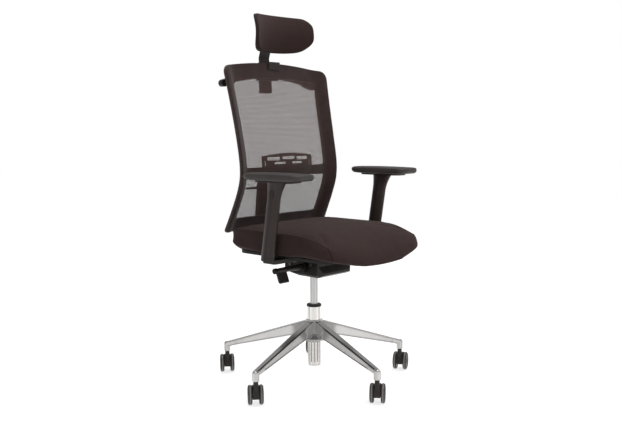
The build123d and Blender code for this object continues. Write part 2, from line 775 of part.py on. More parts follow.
def edge_depth(z):
    """Y of the side edge of the back at height z: two straight leans joined by a soft bend."""
    up = math.tan(math.radians(lean_above))
    down = math.tan(math.radians(lean_below))
    rise = z - lumbar_height
    return lumbar_edge_y + (up + down) / 2 * (math.hypot(rise, lumbar_softness) - lumbar_softness) \
        + (up - down) / 2 * rise


def back_y(x, z):
    """Y of the front of the back frame: side bands wrap forward, the lumbar zone bulges."""
    band = wing_depth / (1 + math.exp((abs(x) - wing_x) / wing_softness))
    across = max(0.0, 1 - (x / bulge_half) ** 2)
    bulge = bulge_depth * across * math.exp(-((z - bulge_height) / bulge_spread) ** 2)
    return edge_depth(z) + band - bulge


def back_surface():
    across = [270.0 * (i / 18 - 1) for i in range(37)]
    heights = [490.0 + 660.0 * j / 30 for j in range(31)]
    rows = [[Vector(x, back_y(x, z), z) for x in across] for z in heights]
    return Face.make_surface_from_array_of_points(rows, tol=0.05)


def front_outline(inset=0.0):
    """Outer edge of the back seen from the front."""
    top = frame_half_top - inset
    low = frame_half_bottom - inset
    waist = frame_half_waist - inset
    edges = [
        ThreePointArc((-top, frame_top_corner - inset), (0, frame_top_middle - inset),
                      (top, frame_top_corner - inset)),
        ThreePointArc((top, frame_top_corner - inset), (waist, frame_waist_z),
                      (low, frame_bottom_corner + inset)),
        ThreePointArc((low, frame_bottom_corner + inset), (0, frame_bottom_middle + inset),
                      (-low, frame_bottom_corner + inset)),
        ThreePointArc((-low, frame_bottom_corner + inset), (-waist, frame_waist_z),
                      (-top, frame_top_corner - inset)),
    ]
    face = make_face(edges)
    corners = face.vertices().group_by(Axis.Y)
    face = fillet(corners[-1], frame_top_round)
    return fillet(face.vertices().group_by(Axis.Y)[0], frame_bottom_round)


def side_edge_x(z):
    """Half width of the back at height z, on the arc through its three side points."""
    chord_low = (frame_half_bottom, frame_bottom_corner)
    chord_top = (frame_half_top, frame_top_corner)
    share = (z - chord_low[1]) / (chord_top[1] - chord_low[1])
    straight = chord_low[0] + share * (chord_top[0] - chord_low[0])
    waist_share = (frame_waist_z - chord_low[1]) / (chord_top[1] - chord_low[1])
    waist_line = chord_low[0] + waist_share * (chord_top[0] - chord_low[0])
    sag = (waist_line - frame_half_waist) / (4 * waist_share * (1 - waist_share))
    return straight - 4 * sag * share * (1 - share)


def opening(low, high, crown):
    """Opening between the side bands from low to high, its top edge crowned."""
    def side(z):
        return side_edge_x(z) - band_width
    middle = (low + high) / 2
    edges = [
        ThreePointArc((-side(high), high), (0, high + crown), (side(high), high)),
        ThreePointArc((side(high), high), (side(middle), middle), (side(low), low)),
        Line((side(low), low), (-side(low), low)),
        ThreePointArc((-side(low), low), (-side(middle), middle), (-side(high), high)),
    ]
    face = make_face(edges)
    return fillet(face.vertices(), window_corner)


def from_front(face):
    """Carry an (x, z) outline through the whole depth of the back."""
    return Pos(0, 500, 0) * extrude(Plane.XZ * face, 1000.0, dir=(0, -1, 0))


surface = back_surface()


def layer(near, far):
    """Space between two offsets behind the front of the back frame."""
    outer = Solid.thicken(surface, far)
    return Part() + (outer if near == 0 else outer - Solid.thicken(surface, near))


frame_blank = layer(0, frame_thickness) & from_front(front_outline())
mesh_sheet = (Part() + Solid.thicken(surface, -mesh_thickness)) & from_front(front_outline(1.0))


def back_frame():
    upper = opening(crossbar_top, frame_top_corner - top_band, window_crown)
    lower = opening(frame_bottom_corner + bottom_band, crossbar_bottom, 0.5)
    frame = frame_blank - from_front(upper) - from_front(lower)
    half = lumbar_panel_width / 2 + 5.0
    height = crossbar_top - crossbar_bottom
    middle = Pos(0, (crossbar_top + crossbar_bottom) / 2)
    recess = middle * Rectangle(2 * half, height + 2)
    frame -= layer(0, crossbar_recess) & from_front(recess)
    bar = middle * Rectangle(2 * half + 24, height)
    return frame + (layer(crossbar_recess, crossbar_back) & from_front(bar))


back_frame_solid = back_frame()


def upright_profile():
    beam_z = back_pivot_z
    rear = upright_rear_y
    path = FilletPolyline((back_pivot_y + 12, beam_z), (rear - 8, beam_z), (rear + 2, 560),
                          (rear - 12, 702), (150, 742), radius=(58.0, 200.0, 46.0))
    return Plane.YZ * trace(path, upright_thickness + 2)


def back_upright():
    half = upright_width / 2
    upright = Pos(-half, 0, 0) * extrude(upright_profile(), upright_width, dir=(1, 0, 0))
    beam_low = back_pivot_z - upright_beam_thickness / 2
    beam_high = back_pivot_z + upright_beam_thickness / 2
    upright += block(-half, half, back_pivot_y + 20, upright_rear_y - 50, beam_low, beam_high)
    bar_middle = back_y(0, (crossbar_top + crossbar_bottom) / 2) + (crossbar_recess + crossbar_back) / 2
    upright += block(-upright_head_half, upright_head_half, bar_middle, bar_middle + upright_head_depth,
                     crossbar_bottom + 2, crossbar_top - 2)
    low, high = frame_bottom_corner + 6, frame_bottom_corner + bottom_band - 6
    upright += side_prism([
        (back_y(0, low) + frame_thickness / 2, low), (back_y(0, high) + frame_thickness / 2, high),
        (upright_rear_y, high), (upright_rear_y, low),
    ], -half, half)
    upright -= back_frame_solid
    fork = upright_fork_half
    upright += block(-fork, fork, back_pivot_y, back_pivot_y + upright_fork_length, beam_low, beam_high)
    upright += bar_x(upright_hub_radius, -fork, fork, back_pivot_y, back_pivot_z)
    spring_room = fork - upright_lug_width
    upright -= block(-spring_room, spring_room, back_pivot_y - 20, back_pivot_y + 26,
                     back_pivot_z - 30, back_pivot_z + 30)
    upright += bar_x(peg_radius, -half - peg_length, -half + 1, upright_rear_y - 8, peg_z)
    return upright - bar_x(pivot_pin_radius + running_gap, -100, 100, back_pivot_y, back_pivot_z)


def lumbar_support():
    """Curved ladder panel behind the mesh, with two rows of slots."""
    half = lumbar_panel_width / 2
    low = lumbar_panel_bottom
    high = low + lumbar_panel_height
    wide = half + 8
    sag = bulge_depth * (wide / bulge_half) ** 2
    start = back_y(0, bulge_height) + lumbar_gap
    arc = ThreePointArc((-wide, start + sag), (0, start), (wide, start + sag))
    thick = lumbar_panel_thickness
    arc_back = ThreePointArc((wide, start + sag + thick), (0, start + thick), (-wide, start + sag + thick))
    plan = make_face([arc, Line(arc @ 1, arc_back @ 0), arc_back, Line(arc_back @ 1, arc @ 0)])
    tilt = math.degrees(math.atan(lumbar_panel_slope))
    panel = Pos(0, 0, low - 20) * extrude(plan, lumbar_panel_height + 40)
    pivot = Pos(0, start, bulge_height)
    panel = pivot * Rot(-tilt, 0, 0) * pivot.inverse() * panel
    face = make_face([
        ThreePointArc((-half, high - 9), (0, high), (half, high - 9)),
        Line((half, high - 9), (half, low)),
        Line((half, low), (-half, low)),
        Line((-half, low), (-half, high - 9)),
    ])
    face = fillet(face.vertices().group_by(Axis.Y)[0] + face.vertices().filter_by(
        lambda v: abs(abs(v.X) - half) < 0.1 and v.Y > low + 10), lumbar_panel_corner)
    for x, z, width, height in ((-70, high - 18, 60, 11), (0, high - 16, 64, 11), (70, high - 18, 60, 11),
                                (-42, high - 34, 54, 7), (42, high - 34, 54, 7)):
        face -= Pos(x, z) * RectangleRounded(width, height, lumbar_slot_corner)
    for side in (-1, 1):
        face -= Pos(side * (half - 13), high - 33) * RectangleRounded(6, 20, lumbar_slot_corner)
    return panel & from_front(face)


# ---- headrest and coat hanger ---------------------------------------------------------

def post_centre_y(z):
    return post_y + math.tan(math.radians(post_lean)) * (z - post_bottom_z)


def post_bar(width, thickness, low, high):
    half = thickness / 2
    return side_prism([
        (post_centre_y(low) - half, low), (post_centre_y(low) + half, low),
        (post_centre_y(high) + half, high), (post_centre_y(high) - half, high),
    ], -width / 2, width / 2)


def headrest_post():
    bend_z = headrest_bottom - 14.0
    bar = post_bar(post_width, post_thickness, post_bottom_z, bend_z)
    bend_y = post_centre_y(bend_z)
    half = post_thickness / 2
    neck = side_prism([
        (bend_y - half, bend_z), (bend_y + half, bend_z),
        (headrest_hinge_y + half, headrest_hinge_z - 3), (headrest_hinge_y - half, headrest_hinge_z - 3),
    ], -post_width / 2, post_width / 2)
    inner = headrest_barrel_half
    for side in (-1, 1):
        neck -= block(side * inner, side * post_width, 100, 300,
                      headrest_hinge_z - 12, headrest_hinge_z + 20)
    barrel = bar_x(headrest_barrel_radius, -inner, inner, headrest_hinge_y, headrest_hinge_z)
    reach = inner + headrest_lug_thickness + 1.0
    pin = bar_x(headrest_pin_radius, -reach, reach, headrest_hinge_y, headrest_hinge_z)
    return bar + neck + barrel + pin


def headrest_bracket():
    front = back_y(0, bracket_bottom_z) + frame_thickness - 8
    rear = post_centre_y(bracket_top_z) + post_thickness / 2 + 6
    body = block(-bracket_half_width, bracket_half_width, front, rear,
                 bracket_bottom_z, bracket_top_z)
    hook = block(-clip_half_width, clip_half_width, back_y(0, bracket_top_z) - 8, rear - 6,
                 bracket_top_z - clip_lip, frame_top_middle + 6)
    body += hook
    body -= frame_blank + mesh_sheet
    body -= coat_hanger()
    body -= block(-100, 100, 0, back_y(0, bracket_bottom_z) + 10, 1000, bracket_top_z - clip_lip)
    wall = 2 * (guide_gap + post_sleeve_wall)
    body += post_bar(post_width + wall, post_thickness + wall, post_sleeve_bottom, bracket_bottom_z + 8)
    slot = post_bar(post_width + 2 * guide_gap, post_thickness + 2 * guide_gap, post_sleeve_bottom - 5,
                    frame_top_middle + 12)
    return body - slot


def coat_hanger():
    half = hanger_half_width
    arc = ThreePointArc((-half, hanger_tip_z), (0, hanger_middle_z), (half, hanger_tip_z))
    face = trace(arc, hanger_thickness)
    for side in (-1, 1):
        tip = SlotOverall(hanger_tip_length, hanger_tip_width, rotation=-15 * side)
        face += Pos(side * (half - 20), hanger_tip_z + 4) * tip
    return Pos(0, hanger_y + hanger_depth / 2, 0) * extrude(Plane.XZ * face, hanger_depth, dir=(0, -1, 0))


def headrest_pad():
    half = headrest_width / 2
    rear_y = headrest_front_y + headrest_thickness
    wide = half + 10
    front_end = headrest_front_y - (headrest_front_y - headrest_tip_y) * (wide / half) ** 2
    rear_end = rear_y - (rear_y - headrest_tip_y - headrest_tip_thickness) * (wide / half) ** 2
    front = ThreePointArc((-wide, front_end), (0, headrest_front_y), (wide, front_end))
    back = ThreePointArc((wide, rear_end), (0, rear_y), (-wide, rear_end))
    plan = make_face([front, Line(front @ 1, back @ 0), back, Line(back @ 1, front @ 0)])
    pad = Pos(0, 0, headrest_bottom) * extrude(plan, headrest_top - headrest_bottom)
    tip_top = headrest_top - headrest_end_drop
    tip_bottom = headrest_bottom + headrest_end_rise
    face = make_face([
        ThreePointArc((-half, tip_top), (0, headrest_top), (half, tip_top)),
        Line((half, tip_top), (half, tip_bottom)),
        ThreePointArc((half, tip_bottom), (0, headrest_bottom), (-half, tip_bottom)),
        Line((-half, tip_bottom), (-half, tip_top)),
    ])
    pad &= from_front(fillet(face.vertices(), headrest_corner))
    pad -= block(-post_width, post_width, rear_y - 5, 300, 1100, headrest_hinge_z + 60)
    radius = headrest_barrel_radius
    for side in (-1, 1):
        x0 = side * (headrest_barrel_half + 0.4)
        x1 = x0 + side * headrest_lug_thickness
        pad += block(x0, x1, rear_y - 6, headrest_hinge_y,
                     headrest_hinge_z - radius, headrest_hinge_z + radius)
        pad += bar_x(radius, x0, x1, headrest_hinge_y, headrest_hinge_z)
    return pad - bar_x(headrest_pin_radius + running_gap, -30, 30, headrest_hinge_y, headrest_hinge_z)


# ---- write every node -----------------------------------------------------------------

save("star_base", star_base())
casters()
save("column_tube", column_tube())
save("column_bushing", column_bushing())
save("thrust_washer", thrust_washer())
save("piston_rod", piston_rod())
save("rod_clip", rod_clip())
save("gas_cylinder", gas_cylinder())
save("release_pin", release_pin())
save("mechanism_housing", mechanism_housing())
save("mechanism_front_cover", mechanism_front_cover())
save("pivot_pins", *pivot_pins())
save("tilt_spring", tilt_spring())
save("height_lever", height_lever())
save("tilt_lock_rod", tilt_lock_rod())
save("seat_cushion", seat_cushion())
save("seat_pan", seat_pan())
save("arm_bolts", *arm_bolts())
for label, side in (("left", 1), ("right", -1)):
    save(f"arm_bracket_{label}", arm_bracket(side))
    save(f"arm_sleeve_{label}", arm_sleeve(side))
    save(f"arm_button_{label}", arm_button(side))
    save(f"arm_pad_plate_{label}", arm_pad_plate(side))
    save(f"arm_pad_{label}", arm_pad(side))
save("back_frame", back_frame_solid)
save("back_mesh", mesh_sheet)
save("back_upright", back_upright())
save("lumbar_support", lumbar_support())
save("headrest_bracket", headrest_bracket())
save("headrest_post", headrest_post())
save("headrest_pad", headrest_pad())
save("coat_hanger", coat_hanger())
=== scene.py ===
import math

import bmesh
import bpy
from mathutils import Matrix, Vector, kdtree


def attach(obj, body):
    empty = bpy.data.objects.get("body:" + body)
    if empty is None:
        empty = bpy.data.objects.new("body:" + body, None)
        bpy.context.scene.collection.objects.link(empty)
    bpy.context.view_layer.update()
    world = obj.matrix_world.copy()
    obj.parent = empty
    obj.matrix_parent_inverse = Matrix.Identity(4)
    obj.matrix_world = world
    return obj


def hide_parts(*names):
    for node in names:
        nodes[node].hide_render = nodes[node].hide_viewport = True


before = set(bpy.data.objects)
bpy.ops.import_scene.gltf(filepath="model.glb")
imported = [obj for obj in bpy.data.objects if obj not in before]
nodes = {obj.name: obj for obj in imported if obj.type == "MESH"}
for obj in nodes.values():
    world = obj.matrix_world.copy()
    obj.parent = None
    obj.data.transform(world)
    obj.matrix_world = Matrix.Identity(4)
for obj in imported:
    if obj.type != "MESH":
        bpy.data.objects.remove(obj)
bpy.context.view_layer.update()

# ---- studio ---------------------------------------------------------------------------
# A pale seamless floor, a white surround and three large soft lamps.  The camera stands
# at the sitter's front right, a little above the arms, and looks slightly down at the chair.

turn, dip, roll = math.radians(46.824), math.radians(-6.2688), math.radians(-0.386)
camera_place = (-2.04706, -1.90890, 0.8864)
sensor_mm, lens_mm = 36.0, 47.066
ahead = Vector((math.sin(turn) * math.cos(dip), math.cos(turn) * math.cos(dip), math.sin(dip)))
sideways = Vector((math.cos(turn), -math.sin(turn), 0.0))
upward = sideways.cross(ahead)
right = sideways * math.cos(roll) + upward * math.sin(roll)
over = upward * math.cos(roll) - sideways * math.sin(roll)
stand = Matrix((right, over, -ahead)).transposed().to_4x4()
stand.translation = camera_place
camera = bpy.data.objects.new("camera", bpy.data.cameras.new("camera"))
camera.data.sensor_width = sensor_mm
camera.data.lens = lens_mm
camera.matrix_world = stand
bpy.context.scene.collection.objects.link(camera)
bpy.context.scene.camera = camera
bpy.context.scene.view_settings.view_transform = "Standard"


class Wire:
    """A value in a material: arithmetic on it adds Math nodes."""

    def __init__(self, tree, socket=None):
        self.tree = tree
        self.socket = socket

    def node(self, kind, settings=None, values=None, output=0):
        """Any shader node: its settings first, then what its sockets hold or are linked to."""
        made = self.tree.nodes.new("ShaderNode" + kind)
        for name, value in (settings or {}).items():
            if name == "stops":
                marks = made.color_ramp.elements
                marks.remove(marks[-1])
                marks[0].position, marks[0].color = value[0]
                for place, colour in value[1:]:
                    marks.new(place).color = colour
            else:
                setattr(made, name, value)
        for key, value in (values or {}).items():
            if isinstance(value, Wire):
                self.tree.links.new(value.socket, made.inputs[key])
            else:
                made.inputs[key].default_value = value
        return Wire(self.tree, made.outputs[output])

    def maths(self, operation, *others):
        return self.node("Math", {"operation": operation}, dict(enumerate((self,) + others)))

    def __add__(self, other):
        return self.maths("ADD", other)

    __radd__ = __add__

    def __mul__(self, other):
        return self.maths("MULTIPLY", other)

    __rmul__ = __mul__

    def __sub__(self, other):
        return self.maths("SUBTRACT", other)

    def __rsub__(self, other):
        return self.node("Math", {"operation": "SUBTRACT"}, {0: other, 1: self})

    def __truediv__(self, other):
        return self.maths("DIVIDE", other)

    def __gt__(self, other):
        return self.maths("GREATER_THAN", other)

    def __abs__(self):
        return self.maths("ABSOLUTE")

    def step(self, low, high):
        """0 below low, 1 above high, with a soft ramp between; it falls if high is the lower."""
        return self.node("MapRange", {"interpolation_type": "SMOOTHSTEP"},
                         {"Value": self, "From Min": low, "From Max": high})

    def split(self, values):
        """The three parts of a vector."""
        made = self.node("SeparateXYZ", {}, {0: values})
        return [Wire(self.tree, socket) for socket in made.socket.node.outputs]

    def blend(self, first, second):
        """Colour first where this value is 0, second where it is 1."""
        return self.node("Mix", {"data_type": "RGBA"}, {0: self, 6: first, 7: second}, 2)

    def into(self, shader, socket):
        self.tree.links.new(self.socket, shader.inputs[socket])


def material(name, fixed):
    """A Principled material; fixed holds the sockets that are the same all over."""
    made = bpy.data.materials.new(name)
    made.use_nodes = True
    shader = made.node_tree.nodes["Principled BSDF"]
    for socket, value in fixed.items():
        shader.inputs[socket].default_value = value
    return made, shader, Wire(made.node_tree)


def grey(value):
    return (value, value, value, 1.0)


def add_mesh(name, bm, finish, smooth=True):
    """Turn a finished bmesh into an object at the origin."""
    mesh = bpy.data.meshes.new(name)
    bm.to_mesh(mesh)
    bm.free()
    made = bpy.data.objects.new(name, mesh)
    bpy.context.scene.collection.objects.link(made)
    mesh.materials.append(finish)
    mesh.polygons.foreach_set("use_smooth", [smooth] * len(mesh.polygons))
    return made


def ray_kinds(wire):
    """Whether a ray comes straight from the camera, off something glossy, or through something clear."""
    kinds = wire.node("LightPath").socket.node.outputs
    return [Wire(wire.tree, kinds[name])
            for name in ("Is Camera Ray", "Is Glossy Ray", "Is Transmission Ray")]


def along_studio(aim):
    """How far a direction points down the studio, where polished metal mirrors a card at each end."""
    down_studio, offset = (0.729, 0.684), 0.05
    return aim[0] * down_studio[0] + aim[1] * down_studio[1] + offset


floor_radius, floor_colour, floor_glow = 14.0, 0.80, 0.72
card_light, near_card_loss, gap_light = 0.60, 0.26, 0.10
card_edge, near_end = (0.12, 0.34), (-0.50, -0.90)
shape = bmesh.new()
bmesh.ops.create_circle(shape, cap_ends=True, segments=96, radius=floor_radius)
floor_finish, shader, wire = material("studio floor", {"Base Color": grey(floor_colour), "Roughness": 0.9})
camera_ray, glossy_ray, clear_ray = ray_kinds(wire)
place = wire.node("VectorMath", {"operation": "NORMALIZE"}, {0: wire.node("TexCoord", output=3)})
along = along_studio(wire.split(place))
cards = abs(along).step(*card_edge) * (card_light - along.step(*near_end) * near_card_loss)
plain = camera_ray.maths("MAXIMUM", clear_ray)
brightness = plain * floor_glow + (1 - plain) * glossy_ray * (cards + gap_light)
glow = wire.node("Emission", {}, {"Color": grey(1.0), "Strength": brightness})
both = wire.node("AddShader", {}, {0: Wire(wire.tree, shader.outputs[0]), 1: glow})
wire.tree.links.new(both.socket, wire.tree.nodes["Material Output"].inputs["Surface"])
floor = add_mesh("studio_floor", shape, floor_finish)

world = bpy.data.worlds.new("studio")
world.use_nodes = True
bpy.context.scene.world = world
wire = Wire(world.node_tree)
# A mirrored ray meets walls that are brightest low down, with a card at each end of the
# studio and a soft light straight above.  Any other ray meets an even room light.
card_light, far_card_loss, near_card_loss, gap_light = 0.85, 0.40, 0.30, 0.15
card_edge, far_end, near_end = (0.14, 0.32), (0.25, 0.95), (-0.45, -0.85)
wall_light, wall_top_light, overhead_light, room_light = 0.65, 0.25, 0.60, 0.34
wall_fade, overhead_edge = (0.95, 0.05), (0.78, 0.93)
camera_ray, glossy_ray, clear_ray = ray_kinds(wire)
shown = camera_ray.maths("MAXIMUM", clear_ray)
aim = wire.split(wire.node("TexCoord"))
walls = aim[2].step(*wall_fade) * wall_light + wall_top_light
along = along_studio(aim)
card = card_light - along.step(*far_end) * far_card_loss - along.step(*near_end) * near_card_loss
cards = abs(along).step(*card_edge) * card + gap_light
overhead = aim[2].step(*overhead_edge) * overhead_light
mirrored = (walls * cards).maths("MAXIMUM", overhead)
unseen = 1 - shown.maths("MAXIMUM", glossy_ray)
strength = shown + glossy_ray * mirrored + unseen * room_light
background = wire.tree.nodes["Background"]
background.inputs["Color"].default_value = grey(1.0)
strength.into(background, "Strength")


def lamp(name, place, target, size, power):
    """A soft square lamp at place, turned to target."""
    data = bpy.data.lights.new(name, "AREA")
    data.size, data.energy = size, power
    made = bpy.data.objects.new(name, data)
    made.location = place
    made.rotation_euler = (Vector(target) - Vector(place)).to_track_quat("-Z", "Y").to_euler()
    made.visible_camera = False
    bpy.context.scene.collection.objects.link(made)
    return made


lamp("lamp_over", (0.2, -0.3, 3.3), (0.0, 0.0, 0.6), 2.6, 40.0)
lamp("lamp_front", (-1.2, -3.2, 1.9), (0.0, 0.0, 0.7), 2.0, 20.0).visible_glossy = False
lamp("lamp_side", (3.2, -0.6, 1.6), (0.0, 0.0, 0.7), 1.8, 9.0)

# ---- star base ------------------------------------------------------------------------
# One die casting of aluminium with five tapering legs and a flared hub.  Tops and edges
# are polished bright; the hollows in the leg sides keep a softer satin face.

bright_top, satin_side = (0.84, 0.83, 0.82, 1), (0.56, 0.545, 0.53, 1)
hub_flank, hub_mouth, flank_slope, edge_round = (0.085, 0.062), (0.027, 0.031), (0.93, 0.80), 0.0040

aluminium, shader, wire = material("polished aluminium", {"Metallic": 1.0})
place = wire.node("TexCoord", output=3)
cloud = wire.node("TexNoise", {}, {"Vector": place, "Scale": 16.0, "Detail": 3.0})
fine = wire.node("TexNoise", {}, {"Vector": place, "Scale": 420.0, "Detail": 2.0})
rounded = wire.node("Bevel", {"samples": 8}, {"Radius": edge_round})
facing = wire.split(wire.node("NewGeometry", output=1))
side = abs(facing[2]).step(0.75, 0.25)
spot = wire.split(place)
reach = (spot[0] * spot[0] + spot[1] * spot[1]).maths("SQRT")
# The sloping flanks of the hub are left duller, so they mirror less of the dark seat above.
flank = reach.step(*hub_flank) * reach.step(*hub_mouth) * facing[2].step(*flank_slope)
(side * (cloud * 0.4 + 0.6)).blend(bright_top, satin_side).into(shader, "Base Color")
(0.13 + side * 0.17 + cloud * 0.06 + flank * 0.15).into(shader, "Roughness")
(1 - flank * 0.75).into(shader, "Metallic")
wire.node("Bump", {}, {"Strength": 0.06, "Distance": 0.0006, "Height": fine, "Normal": rounded}).into(
    shader, "Normal")


def dress(finish, *names):
    """Give CAD nodes a finish."""
    for name in names:
        nodes[name].data.materials.clear()
        nodes[name].data.materials.append(finish)


dress(aluminium, "star_base")

# ---- column ---------------------------------------------------------------------------
# A bright chromed steel tube wedged in the hub, its lower end fluted.  A black nylon
# bushing with a collar guides the satin ground gas cylinder, which stands on a thin rod.

chrome, shader, wire = material("chromed tube", {"Metallic": 1.0})
place = wire.node("TexCoord", output=3)
stretch = wire.node("Mapping", {}, {"Vector": place, "Scale": (60.0, 60.0, 9.0)})
streak = wire.node("TexNoise", {}, {"Vector": stretch, "Scale": 1.0, "Detail": 2.0})
chrome_dark, chrome_bright = (0.70, 0.68, 0.655, 1), (0.84, 0.82, 0.79, 1)
streak.blend(chrome_dark, chrome_bright).into(shader, "Base Color")
(0.14 + streak * 0.12).into(shader, "Roughness")
wire.node("Bump", {}, {"Strength": 0.10, "Distance": 0.0008, "Height": streak}).into(shader, "Normal")

satin, shader, wire = material("satin steel", {"Metallic": 1.0})
place = wire.node("TexCoord", output=3)
stretch = wire.node("Mapping", {}, {"Vector": place, "Scale": (90.0, 90.0, 2600.0)})
rings = wire.node("TexNoise", {}, {"Vector": stretch, "Scale": 1.0, "Detail": 2.0})
rings.blend((0.51, 0.51, 0.51, 1), (0.66, 0.66, 0.65, 1)).into(shader, "Base Color")
(0.26 + rings * 0.14).into(shader, "Roughness")
wire.node("Bump", {}, {"Strength": 0.25, "Distance": 0.0002, "Height": rings}).into(shader, "Normal")

zinc, shader, wire = material("zinc plated steel", {"Metallic": 1.0})
place = wire.node("TexCoord", output=3)
flake = wire.node("TexVoronoi", {}, {"Vector": place, "Scale": 900.0})
flake.step(0.0, 0.6).blend((0.50, 0.50, 0.51, 1), (0.62, 0.62, 0.62, 1)).into(shader, "Base Color")
(0.28 + flake * 0.2).into(shader, "Roughness")

dress(satin, "gas_cylinder")
dress(zinc, "piston_rod", "rod_clip", "thrust_washer", "release_pin")


def tinted(colour, share):
    """A colour made darker or lighter, as a socket takes it."""
    return tuple(part * share for part in colour) + (1.0,)


def moulded(name, colour, roughness, grain=0.35, edge=0.0010, lighter=1.5, gloss=0.32):
    """Moulded or powder-coated black surface with fine grain and slightly rubbed edges."""
    made, shader, wire = material(name, {"Specular IOR Level": gloss})
    place = wire.node("TexCoord", output=3)
    pits = wire.node("TexNoise", {}, {"Vector": place, "Scale": 1500.0, "Detail": 2.0})
    cloud = wire.node("TexNoise", {}, {"Vector": place, "Scale": 22.0, "Detail": 3.0})
    rounded = wire.node("Bevel", {"samples": 4}, {"Radius": edge})
    flat = wire.node("NewGeometry", output=1)
    straight = wire.node("VectorMath", {"operation": "DOT_PRODUCT"}, {0: rounded, 1: flat}, 1)
    rubbed = (1 - straight).step(0.02, 0.30) * 0.8
    shade = (pits * 0.3 + cloud * 0.5 + rubbed * 0.5).step(0.15, 1.1)
    shade.blend(tinted(colour, 0.82), tinted(colour, lighter)).into(shader, "Base Color")
    (roughness - 0.05 + cloud * 0.10 - rubbed * 0.10).into(shader, "Roughness")
    wire.node("Bump", {}, {"Strength": grain, "Distance": 0.00025, "Height": pits, "Normal": rounded}).into(
        shader, "Normal")
    return made


black_nylon = moulded("black nylon", (0.030, 0.026, 0.024), 0.44)
dress(black_nylon, "column_bushing")
dress(chrome, "column_tube")


def ramped(value, start, length):
    """0 before start, 1 a length beyond it, and even in between."""
    return min(1.0, max(0.0, (value - start) / length))


# The fluted cover is pressed over the tube's lower end: a plain ring at its foot, then
# twelve flutes, whose valleys carry painted shade and whose top edge is scalloped.
flutes, flute_depth, scallop = 12, 0.0020, 0.0060
cover_low, cover_high, plain_ring, ring_fade = 0.0585, 0.1385, 0.0700, 0.003
cover_radius, cover_taper, tube_surface = 0.0206, 0.0004, 0.02055
top_fade, top_depth, flute_roundness = 0.05, 0.25, 0.7
painted_valley_shade = (0.30, 0.29, 0.28, 1)

ribbed, shader, wire = material("fluted cover", {"Metallic": 1.0})
place = wire.node("TexCoord", output=3)
spot = wire.split(place)
crest = abs((spot[1].maths("ARCTAN2", spot[0]) * (flutes / 2)).maths("COSINE"))
fluted_part = spot[2].step(plain_ring - 0.0010, plain_ring + ring_fade)
valley = crest.step(0.62, 0.22) * fluted_part
cloud = wire.node("TexNoise", {}, {"Vector": place, "Scale": 70.0, "Detail": 3.0})
# The flute valleys are painted dark, as shade in the grooves.
(valley * 0.85 + cloud * 0.15).blend(chrome_bright, painted_valley_shade).into(shader, "Base Color")
(0.16 + cloud * 0.12 + valley * 0.2).into(shader, "Roughness")

shape = bmesh.new()
bmesh.ops.create_grid(shape, x_segments=flutes * 12, y_segments=26, size=1.0)
for vertex in shape.verts:
    about, share = math.pi * vertex.co.x, vertex.co.y * 0.5 + 0.5
    ridge = abs(math.cos(flutes / 2 * about))
    z = cover_low + share * (cover_high + scallop * math.sqrt(ridge) - cover_low)
    depth = ramped(z, plain_ring, ring_fade) * min(1.0, (1 - share) / top_fade + top_depth)
    radius = cover_radius + cover_taper * share + flute_depth * (1 - depth * (1 - ridge ** flute_roundness))
    vertex.co = (radius * math.cos(about), radius * math.sin(about), z)
bmesh.ops.remove_doubles(shape, verts=shape.verts, dist=1e-6)
rims = [edge for edge in shape.edges if edge.is_boundary]
made = bmesh.ops.extrude_edge_only(shape, edges=rims)["geom"]
for vertex in [part for part in made if isinstance(part, bmesh.types.BMVert)]:
    vertex.co.xy *= tube_surface / vertex.co.xy.length
bmesh.ops.recalc_face_normals(shape, faces=shape.faces)
fluted = add_mesh("column_tube_flutes", shape, ribbed)
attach(fluted, "base")

# ---- casters --------------------------------------------------------------------------
# Five twin wheel casters: a steel stem pressed into a nylon hood, a steel axle, and two
# slim nylon wheels, each with a pale soft tread moulded round it.

leg_count, first_leg_angle, stem_circle = 5, 44.4, 0.331
rest_swivels = (31.5, 52.5, 50.4, 34.9, 27.0)
trail, wheel_radius, wheel_inner = 0.020, 0.0325, 0.011

caster_nylon = moulded("caster nylon", (0.036, 0.030, 0.027), 0.44)
wheel_nylon = moulded("wheel nylon", (0.062, 0.053, 0.048), 0.40, lighter=1.7)
tread_rubber = moulded("soft tread", (0.24, 0.225, 0.210), 0.30, grain=0.3, lighter=1.4, gloss=0.9)


def turned_ring(outline):
    """A closed ring about the axle from an outline of (radius, distance outwards)."""
    shape = bmesh.new()
    corners = [shape.verts.new((radius, out, 0.0)) for radius, out in outline]
    rim = [shape.edges.new((a, b)) for a, b in zip(corners, corners[1:] + corners[:1])]
    bmesh.ops.spin(shape, geom=corners + rim, cent=(0, 0, 0), axis=(0, 1, 0), angle=math.tau, steps=64,
                   use_merge=True)
    bmesh.ops.remove_doubles(shape, verts=shape.verts, dist=1e-6)
    bmesh.ops.recalc_face_normals(shape, faces=shape.faces)
    return shape


tread_outline = [(0.0292, 0.0043), (0.0313, 0.0043), (0.0320, 0.0047), (0.0324, 0.0055), (0.0325, 0.0064),
                 (0.0325, 0.0078), (0.0324, 0.0087), (0.0320, 0.0095), (0.0313, 0.0099), (0.0292, 0.0099)]
disc_outline = [(0.00405, 0.0004), (0.0270, 0.0003), (0.0288, 0.0007), (0.0303, 0.0017), (0.0312, 0.0028),
                (0.0315, 0.0036), (0.0313, 0.0041), (0.0290, 0.0042), (0.0290, 0.0100), (0.0313, 0.0101),
                (0.0315, 0.0106), (0.0312, 0.0113), (0.0303, 0.0124), (0.0290, 0.0133), (0.0276, 0.0139),
                (0.0262, 0.0142), (0.0252, 0.0139), (0.0240, 0.0119), (0.0100, 0.0126),
                (0.0094, 0.0132), (0.0088, 0.0140), (0.0060, 0.0142), (0.00405, 0.0142)]
cap_outline = [(0.00005, 0.0128), (0.0039, 0.0128), (0.0039, 0.0140), (0.0030, 0.0146), (0.00005, 0.0147)]
